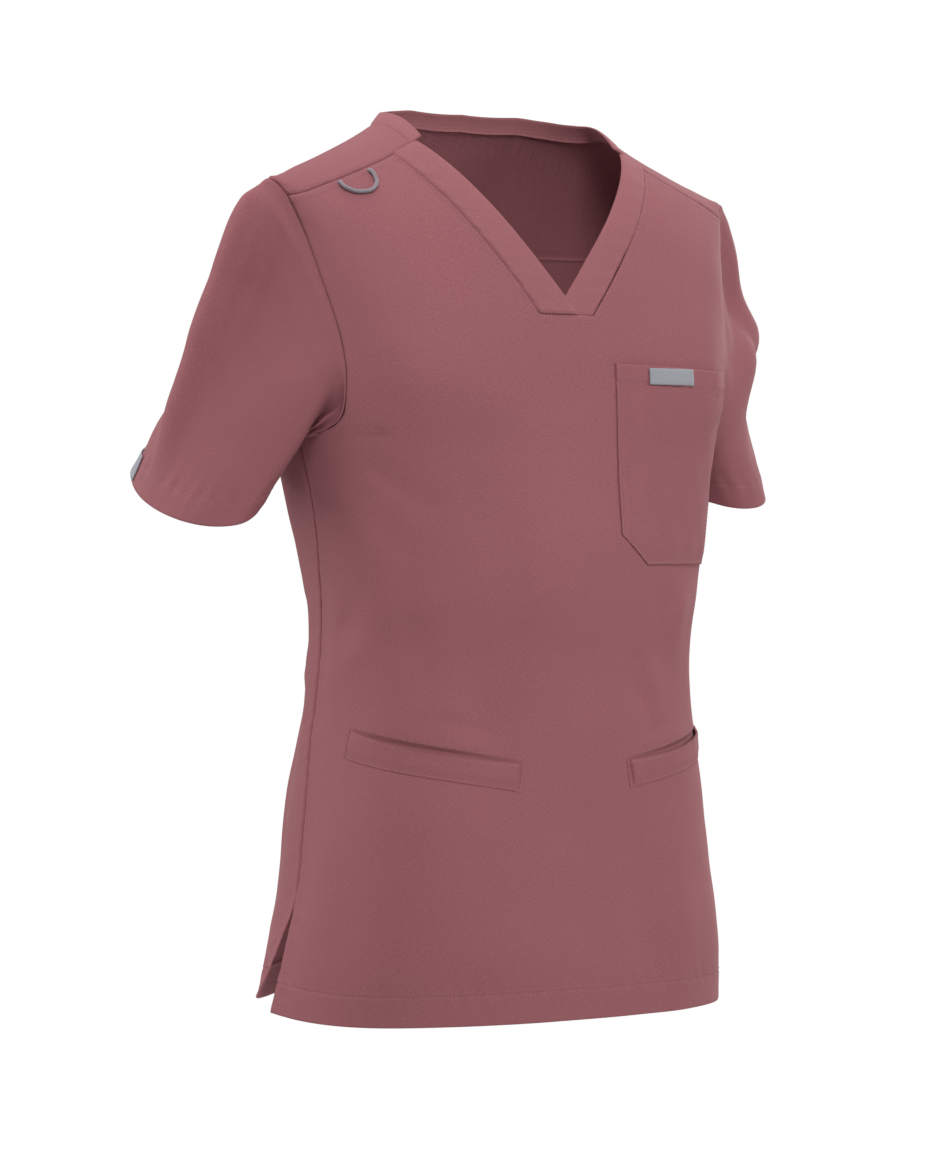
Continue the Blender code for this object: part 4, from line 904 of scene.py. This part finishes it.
def armhole_ring():
    """Right armhole edge as a closed line of RING even steps through the seam's corner points.

    Cubic Hermite pieces whose slopes are (next - last) / (their distance). Also gives the place of
    each corner, counted in steps.
    """
    turn = armhole_turn(ARM_LEVELS)
    front = form(turn, ARM_LEVELS), form_normals(turn, ARM_LEVELS)
    reach_end = float(level_reach(BACK_TIP_LEVEL))
    reach = np.concatenate([ARM_REACHES, [reach_end * 0.82, reach_end]])
    over_level = reach_level(reach)
    over_turn = np.where(reach < 0, armhole_turn(over_level), armhole_turn(over_level, True))
    over = over_shoulder(over_turn, reach), normals(over_shoulder, over_turn, reach)
    levels = ARM_LEVELS[ARM_LEVELS < BACK_TIP_LEVEL - 0.012][:0:-1]
    behind_turn = 2 - armhole_turn(levels, True)
    behind = form(behind_turn, levels), form_normals(behind_turn, levels)
    corners = np.concatenate([front[0], over[0], behind[0]])
    knots = line_run(np.vstack([corners, corners[:1]]))
    step = np.diff(knots)
    at = np.arange(RING) / RING * knots[-1]
    k = np.searchsorted(knots, at, "right") - 1
    after = (k + 1) % len(step)
    t, long = ((at - knots[k]) / step[k])[:, None], step[k][:, None]
    out = []
    for p in (corners, np.concatenate([front[1], over[1], behind[1]])):
        slope = (np.roll(p, -1, 0) - np.roll(p, 1, 0)) / (step + np.roll(step, 1))[:, None]
        out.append(hermite(t, p[k], long * slope[k], p[after], long * slope[after]) * [-1.0, 1.0, 1.0])
    return out[0], unit(out[1]), knots / knots[-1] * RING


# small creases of the sleeves: side, angle, share -> angle, share, half width, depth
SLEEVE_CREASES = (
    (1, 40, -0.02, 26, 0.92, 0.0240, -0.0070), (1, 66, 0.03, 84, 0.30, 0.0100, 0.0010),
    (1, 70, 0.30, 120, 0.52, 0.0120, 0.0011),
    (1, 150, 0.30, 205, 0.44, 0.0110, -0.0014), (1, 160, 0.55, 215, 0.62, 0.0100, -0.0010),
    (1, 90, 0.62, 150, 0.80, 0.0120, -0.0008), (1, 330, 0.18, 280, 0.42, 0.0090, -0.0022),
    (1, 345, 0.30, 300, 0.58, 0.0090, 0.0014), (1, 250, 0.40, 215, 0.62, 0.0110, -0.0012),
    (-1, 22, 0.10, 66, 0.40, 0.0080, -0.0022), (-1, 120, 0.64, 205, 0.67, 0.0070, -0.0030),
    (-1, 110, 0.36, 175, 0.30, 0.0100, 0.0014), (-1, 335, 0.16, 285, 0.40, 0.0090, -0.0022),
    (-1, 345, 0.34, 300, 0.60, 0.0090, 0.0014), (-1, 240, 0.46, 200, 0.58, 0.0100, -0.0014),
    (-1, 80, 0.64, 140, 0.78, 0.0120, -0.0008),
)


def around(values, width, axis=0):
    """Mean of the values on a closed ring, weighted exp(-(k / width)^2)."""
    steps = np.arange(-3 * width, 3 * width + 1)
    weights = np.exp(-(steps / width) ** 2)
    return sum(w * np.roll(values, int(k), axis) for k, w in zip(steps, weights)) / weights.sum()


def tube_normals(points, shares):
    """Outward normals of a grid of rings."""
    down = np.gradient(points, shares, axis=0)
    out = unit(np.cross(np.roll(points, -1, 1) - np.roll(points, 1, 1), down))
    return out * np.sign((out * (points - points.mean(1, keepdims=True))).sum(-1).mean())


def sleeve_lines(shares, side):
    """Plain sleeve, as on the right side: each line of the cloth is a cubic from armhole to cuff.

    Also gives the angle of each line, its place along the armhole and the armhole's normals.
    """
    x, y, z, half_x, half_y, tilt_x, tilt_y = CUFFS[side]
    edge, normal, _ = armhole_ring()
    ring = unit(np.roll(edge, -1, 0) - np.roll(edge, 1, 0))
    outward = unit(np.cross(ring, normal))
    beside = edge.mean(0) - [BESIDE, 0, 0]
    outward *= np.sign((outward * (beside - edge)).sum(-1))[:, None]
    run = line_run(np.vstack([edge, edge[:1]]))
    along, step = run[:-1], np.diff(run)
    ridge = along[np.argmax(edge[:, 2])]
    pace = around(np.where(along < ridge, 1 / ridge, 1 / (run[-1] - ridge)), 16) * step
    angle = np.concatenate([[0], np.cumsum(pace)[:-1]]) * 2 * np.pi / pace.sum()
    dx, dy = half_x * np.cos(angle), -half_y * np.sin(angle)
    cuff = np.array([x, y, z]) + np.stack([dx, dy, tilt_x * dx + tilt_y * dy], -1)
    way = cuff - edge
    length = np.linalg.norm(way, axis=-1, keepdims=True)
    turnback = (way / length * outward).sum(-1)
    lap = around(ease((LAP_FROM - turnback) / LAP_FADE)
                 * np.clip((LAP_TOP_Z - edge[:, 2]) / LAP_TOP_FADE, 0, 1), 12)[:, None]
    start = edge + normal * lap * LAP_RISE + outward * 0.0004
    way = cuff - start
    soft = unit(around(normal, 6))
    full = 1 + HEAD_FULL * np.exp(-((np.degrees(angle) - HEAD_ANGLE) / HEAD_WIDTH) ** 2)[:, None]
    flat = way - (way * soft).sum(-1, keepdims=True) * soft
    long = np.linalg.norm(flat, axis=-1, keepdims=True)
    leave = flat / np.maximum(long, 0.75 * length) * length * LEAVE * full
    points = hermite(shares[:, None, None], start, leave, cuff, way * ARRIVE)
    # under the arm the cloth is drawn even round the sleeve, more so away from the seam
    even = ease(shares / 0.10)[:, None, None] * np.exp(-((np.degrees(angle) - 22) / 34) ** 2)[:, None]
    for _ in range(2):
        points = points + (around(points, 8, 1) - points) * even
    return points, angle, along, normal


def soft_normals(points, shares):
    """Normals of the rings, evened out round the sleeve."""
    return unit(around(tube_normals(points, shares), 9, 1))


def sleeve_surface(shares, side):
    """Points, normals and pattern of a sleeve: its lines moved out by the folds, then the creases."""
    points, angle, along, normal = sleeve_lines(shares, side)
    begins = ease(shares / BEGINS)[:, None]
    fold_out = np.zeros(points.shape[:2])
    for fold_side, turn, share, half_angle, half_share, depth in SLEEVE_FOLDS:
        if fold_side == side:
            off = ((angle - np.radians(turn)) / np.radians(half_angle))[None, :]
            down = ((shares - share) / half_share)[:, None]
            fold_out += depth * np.exp(-off**2) * np.exp(-down**2)
    points = points + soft_normals(points, shares) * (fold_out * begins)[..., None]
    px, py = np.degrees(angle)[None, :] * ROUND_SLEEVE, shares[:, None] * DOWN_SLEEVE
    crease_out = 0.00035 * np.sin(px * 90 + py * 60) * np.sin(py * 80 - px * 40 + side)
    for k, (fold_side, a0, s0, a1, s1, half, depth) in enumerate(SLEEVE_CREASES):
        if fold_side == side:
            t, form_out = one_crease(px - a0 * ROUND_SLEEVE, py - s0 * DOWN_SLEEVE, (a1 - a0) * ROUND_SLEEVE,
                                     (s1 - s0) * DOWN_SLEEVE, half, bend=0.004, slack=0.65)
            crease_out += depth * form_out * (1 + 0.3 * np.sin(8 * t + 1.7 * k))
    points = points + soft_normals(points, shares) * (crease_out * begins)[..., None]
    blend = np.clip(1 - shares / 0.10, 0, 1)[:, None, None]
    out = unit(tube_normals(points, shares) * (1 - blend) + normal * blend)
    return points, out, np.stack(np.broadcast_arrays(along[None, :], py), -1)


def make_sleeve(name, side, nodes):
    """Short sleeve as a closed tube of cloth, open at the armhole and the cuff."""
    points, normal, uv = sleeve_surface(thicken(92), side)
    mirror = np.array([side, 1.0, 1.0])
    return shell(name, points * mirror, normal * mirror, uv, CLOTH_ROSE, tube=True,
                 seams={"t": 1.0}, turned={"b": (CUFF_DEPTH, 1.0)}, replaces=nodes)


# ---- what lies on the panels -------------------------------------------------------------------

def make_chest_pocket():
    """Patch pocket: height over the front 1 mm at its edges, 2 mm in the middle, more at the mouth.

    Two grooves run down its sides, where its rows of stitches hold it down.
    """
    across = np.concatenate([POCKET_CUT[0] * thicken(20)[:-1],
                             POCKET_CUT[0] + (1 - POCKET_CUT[0]) * thicken(64)])
    up = thicken(100)
    bottom = POCKET_BOTTOM_Z + POCKET_CUT[1] * np.clip(1 - across / POCKET_CUT[0], 0, 1)
    top = POCKET_TOP_Z[0] + (POCKET_TOP_Z[1] - POCKET_TOP_Z[0]) * across
    z = bottom[None, :] + (top - bottom)[None, :] * up[:, None]
    inner = POCKET_INNER_X[0] + (POCKET_INNER_X[1] - POCKET_INNER_X[0]) * up
    outer = POCKET_OUTER_X[0] + (POCKET_OUTER_X[1] - POCKET_OUTER_X[0]) * up
    start, end = front_chart(inner, z[:, 0])[0], front_chart(outer, z[:, -1])[0]
    turn = start[:, None] + (end - start)[:, None] * across[None, :]
    level = level_at(turn, z)
    from_side = np.minimum(across, 1 - across)[None, :] * POCKET_WIDTH
    from_foot = up[:, None] * POCKET_HEIGHT
    height = (0.0011 + 0.0010 * ease(np.minimum(from_side, from_foot) / 0.014)
              + 0.0009 * np.sin(np.pi * across)[None, :] * up[:, None] ** 5
              - 0.00085 * np.exp(-((from_side - 0.0070) / 0.0011) ** 2)
              - 0.00040 * np.exp(-((from_side - 0.0018) / 0.0009) ** 2)
              + 0.0003 * np.sin(across * 31)[None, :] * np.sin(up * 17)[:, None] * ease(from_side / 0.01))
    points, normal = front_surface(turn, level, height)
    return shell("chest_patch_pocket", points, normal, panel_uv(turn, level), CLOTH_ROSE,
                 thick=0.0010, turned={"b": (POCKET_HEM, 1.0)}, replaces=("chest_pocket",))


def make_label():
    """Plain woven label, folded over the pocket's upper edge."""
    x, z = np.meshgrid(np.linspace(*LABEL_X, 45), np.linspace(*LABEL_Z, 17))
    turn, level = front_chart(x, z)
    points, normal = front_surface(turn, level, LABEL_LIFT)
    edge = np.minimum(np.minimum(x - LABEL_X[0], LABEL_X[1] - x),
                      np.minimum(z - LABEL_Z[0], LABEL_Z[1] - z))
    points = points - normal * (0.0005 * np.exp(-(edge / 0.0008) ** 2))[..., None]
    return shell("pocket_woven_label", points, normal, np.stack([x, z], -1), GREY_LABEL, thick=0.0007,
                 slot="grey_woven", replaces=("pocket_label",))


def welt_chart(across, up):
    """(turn, level) on a welt: a slanted band of the front, skewed a little at its ends."""
    turn = WELT_TURNS[0] + (WELT_TURNS[1] - WELT_TURNS[0]) * across + WELT_SKEW * (1 - up)
    return turn, WELT_TOP_Z[0] + (WELT_TOP_Z[1] - WELT_TOP_Z[0]) * across - WELT_HEIGHT * (1 - up)


def make_welt(name, side, node):
    """Slanted welt, level with the front at its foot and open like a lens along its upper edge.

    A groove runs along both ends, where they are sewn down.
    """
    across, up = np.meshgrid(thicken(110), thicken(20))
    turn, level = welt_chart(across, up)
    level = level - WELT_SAG * np.sin(np.pi * across**0.8) * up**6
    from_end, from_foot = np.minimum(across, 1 - across) * WELT_LENGTH, up * WELT_HEIGHT
    closed = (1 - lens(across)) * np.exp(-((WELT_HEIGHT - from_foot) / 0.0025) ** 2)
    raised = ease((from_end - 0.0022) / 0.0022) * ease(from_foot / 0.009) * (1 - closed)
    height = (0.0001 + 0.0014 * raised - 0.0016 * np.exp(-((from_end - 0.0025) / 0.0007) ** 2)
              + 0.0011 * lens(across) * up**3 + 0.0002 * np.sin(across * 44 + side) * up)
    points, normal = front_surface(side * turn, level, height)
    return shell(name, points, normal, panel_uv(side * turn, level), CLOTH_ROSE, thick=0.0016,
                 replaces=(node,))


def make_loop():
    """Round elastic cord, 3 mm thick, whose two ends go into the right forward shoulder seam.

    Its surface is a braid, 5 % of the radius deep.
    """
    knots = np.linspace(0, 1, len(LOOP_LINE))
    fine = np.linspace(0, 1, 120)
    turn, level = front_chart(-smooth(fine, knots, LOOP_LINE[:, 0]), smooth(fine, knots, LOOP_LINE[:, 1]))
    points, normal = form(turn, level), form_normals(turn, level)
    sink = CORD_SINK * (ease(1 - fine / 0.08) + ease(1 - (1 - fine) / 0.08))
    line = points + normal * (CORD_LIFT - sink)[:, None]
    along = unit(np.gradient(line, axis=0))
    across = unit(np.cross(along, normal))
    normal = np.cross(across, along)
    angle = np.arange(24) / 24 * 2 * np.pi
    run = line_run(line)
    # three threads wind round it each way, one turn in 6.5 mm
    braid = CORD_RADIUS * (1 + 0.05 * np.cos(3 * angle[None, :] + run[:, None] * 2900)
                           * np.cos(3 * angle[None, :] - run[:, None] * 2900))
    rings = line[:, None] + (np.cos(angle)[None, :, None] * across[:, None]
                             + np.sin(angle)[None, :, None] * normal[:, None]) * braid[..., None]
    index = np.arange(rings.size // 3).reshape(len(fine), 24)
    ends = np.concatenate([[[r[0], r[k], r[k + 1], r[k + 2]] for k in range(1, 22, 2)]
                           for r in (index[0, ::-1], index[-1])])
    uv = np.stack(np.broadcast_arrays(angle[None, :] * CORD_RADIUS, run[:, None]), -1).reshape(-1, 2)
    loop = make_mesh("badge_cord_loop", rings.reshape(-1, 3), np.concatenate([squares(wrapped(index)), ends]),
                     uv, GREY_CORD, slot="grey_cord", replaces=("badge_loop",))


def make_tab():
    """Small grey tab sewn on the right cuff's hem, at the outer back."""
    above = np.linspace(0, 0.85, 8)
    points, normal, uv = sleeve_surface(np.concatenate([above, np.linspace(0.90, 0.99, 13)]), 1)
    corners = armhole_ring()[2]
    cut = slice(round(corners[TAB_CORNERS[0]]), round(corners[TAB_CORNERS[1]]) + 1)
    points, normal, uv = (part[len(above):, cut] for part in (points, normal, uv))
    return shell("cuff_woven_tab", points + normal * TAB_LIFT, normal, uv, GREY_LABEL, thick=0.0008,
                 slot="grey_woven", replaces=("cuff_tab",))


# ---- the top put together ----------------------------------------------------------------------

front = make_front()
back = make_back()
yoke = make_yoke()
band_right = make_neck_band("neck_band_right_strip", -1, 0.0, "neck_band_right")
band_left = make_neck_band("neck_band_left_strip", 1, 0.0021, "neck_band_left")
back_band = make_back_neckband()
sleeve_right = make_sleeve("sleeve_right_tube", 1, ("sleeve_right_front", "sleeve_right_back"))
sleeve_left = make_sleeve("sleeve_left_tube", -1, ("sleeve_left_front", "sleeve_left_back"))
pocket = make_chest_pocket()
label = make_label()
welt_right = make_welt("welt_right_strip", -1, "welt_right")
welt_left = make_welt("welt_left_strip", 1, "welt_left")
make_loop()
tab = make_tab()

VENT_ROWS = int(np.searchsorted(LOWER, VENT)) + 2
SEWING = [   # piece, edges, distance from the edge, first and last point of the line
    ("chest_patch_pocket", "lrt", EDGE_ROW, 0, None), ("chest_patch_pocket", "lr", POCKET_ROW, 6, -12),
    ("chest_patch_pocket", "t", POCKET_ROW, 6, -6),
    ("chest_patch_pocket", "b", POCKET_HEM - FROM_FOLD, 2, -2),
    ("neck_band_right_strip", "l", LAP_ROW, 1, -1), ("neck_band_right_strip", "l", LAP_SECOND_ROW, 1, -1),
    ("back_neckband_strip", "t", NECK_ROW, 2, -2), ("shoulder_yoke", "tb", YOKE_ROW, 2, -2)]
for piece in ("front_panel", "back_panel"):
    SEWING += [(piece, "t", HEM_DEPTH - FROM_FOLD, 0, None), (piece, "lr", VENT_ROW, 2, VENT_ROWS),
               (piece, "b", YOKE_ROW, 2, -2), (piece, "b", YOKE_SECOND_ROW, 2, -2)]
for piece in ("welt_right_strip", "welt_left_strip"):
    SEWING += [(piece, "t", WELT_FOOT_ROW, 1, -1), (piece, "b", WELT_TOP_ROW, 1, -1),
               (piece, "lr", WELT_END_ROW, 1, -1)]
for piece in ("sleeve_right_tube", "sleeve_left_tube"):
    SEWING += [(piece, "b", CUFF_DEPTH - FROM_FOLD, 0, None)]
for piece, edges, distance, first, last in SEWING:
    for edge in edges:
        sew(*line_from_edge(piece, edge, distance, first, last))
# above each slit, and on the inner side of the back neckband
for side in (-1, 1):
    across = np.linspace(-0.015, 1.015, 200)
    turn, level = welt_chart(across, 1 + 0 * across)
    level = level + SLIT_ROW
    sew(*front_surface(side * turn, level, mouth(turn, level) + CLOTH / 2))
outer, normal = line_from_edge("back_neckband_strip", "t", NECK_INNER_ROW, 2, -2)
sew(outer - normal * 0.0020, -normal)
make_stitches("sewing_thread", THREAD_ROSE)

# ---- stage, light and camera -------------------------------------------------------------------

FLOOR_Z = -1.45        # the floor lies this far below the wearer's shoulders


def make_floor():
    """Pale round floor under the worn top: a disc of radius 1.5 m, x = r cos a, y = r sin a."""
    r, a = np.meshgrid(np.linspace(0.002, 1.5, 12), np.linspace(0, 2 * np.pi, 65)[:-1], indexing="ij")
    points = np.stack([r * np.cos(a), r * np.sin(a), FLOOR_Z + 0 * r], -1)
    quads = squares(wrapped(np.arange(r.size).reshape(r.shape)))[:, ::-1]
    material, tree, shader = new_material("painted_studio_floor")
    place = add(tree, "ShaderNodeTexCoord").outputs["Object"]
    grain = add(tree, "ShaderNodeTexNoise", {"Vector": place, "Scale": 30.0, "Detail": 4.0}).outputs["Fac"]
    tone = add(tree, "ShaderNodeMix", {0: grain, 6: linear("eeeeec"), 7: linear("f7f7f6")},
               data_type="RGBA")
    fill(tree, shader, {"Base Color": tone.outputs[2], "Roughness": 0.9})
    mesh = bpy.data.meshes.new("studio_floor")
    mesh.from_pydata(points.reshape(-1, 3).tolist(), [], quads.tolist())
    mesh.materials.append(material)
    floor = bpy.data.objects.new("studio_floor", mesh)
    bpy.context.scene.collection.objects.link(floor)


def placing(x, y, z, origin):
    """Matrix whose columns are three axes and an origin."""
    return Matrix([[*map(float, row)] for row in np.stack([x, y, z, origin], 1)] + [[0, 0, 0, 1]])


def softbox(name, place, aim, size, power):
    """Square area light at place, turned to aim."""
    data = bpy.data.lights.new(name, "AREA")
    data.shape, data.size, data.energy = "SQUARE", size, power
    item = bpy.data.objects.new(name, data)
    bpy.context.scene.collection.objects.link(item)
    place, aim = np.array(place, float), np.array(aim, float)
    out = unit(place - aim)
    side = unit(np.cross([0, 0, 1.0], out))
    item.matrix_world = placing(side, np.cross(out, side), out, place)


make_floor()
world = bpy.data.worlds.new("white_studio")
bpy.context.scene.world = world
world.use_nodes = True
sky = world.node_tree
sky.nodes.clear()
seen = add(sky, "ShaderNodeLightPath").outputs["Is Camera Ray"]
power = add(sky, "ShaderNodeMapRange", {"Value": seen, "To Min": 0.27, "To Max": 1.0}).outputs["Result"]
air = add(sky, "ShaderNodeBackground", {"Color": (1, 1, 1, 1), "Strength": power})
add(sky, "ShaderNodeOutputWorld", {"Surface": air.outputs["Background"]})

AZIMUTH, ELEVATION, DISTANCE, LENS = np.radians(-35.0), np.radians(0.5), 3.3, 131.41
ahead = np.array([-np.sin(AZIMUTH) * np.cos(ELEVATION), np.cos(AZIMUTH) * np.cos(ELEVATION),
                  -np.sin(ELEVATION)])
right = np.array([np.cos(AZIMUTH), np.sin(AZIMUTH), 0.0])
AIM = np.array([0.0, 0.0, -0.35])
for name, place, size, power in (   # place: across to the right, towards the camera, up
        ("key_high_in_front", (0.2, 2.2, 1.9), 1.0, 48.5),
        ("side_light_right", (2.5, 0.4, 0.4), 1.4, 22.5),
        ("side_light_left", (-2.4, 0.0, 0.7), 1.3, 31.0),
        ("top_light", (-0.2, -0.2, 2.4), 1.5, 21.0),
        ("back_light", (1.4, -2.2, 0.9), 1.3, 24.0)):
    across, near, up = place
    softbox(name, AIM + right * across - ahead * near + np.array([0, 0, up]), AIM, size, power)

eye = right * -0.0183 + np.array([0, 0, -0.352]) - ahead * DISTANCE
camera = bpy.data.objects.new("camera", bpy.data.cameras.new("camera"))
bpy.context.scene.collection.objects.link(camera)
camera.data.lens = LENS
camera.matrix_world = placing(right, np.cross(right, ahead), -ahead, eye)
bpy.context.scene.camera = camera
bpy.context.scene.view_settings.view_transform = "Standard"
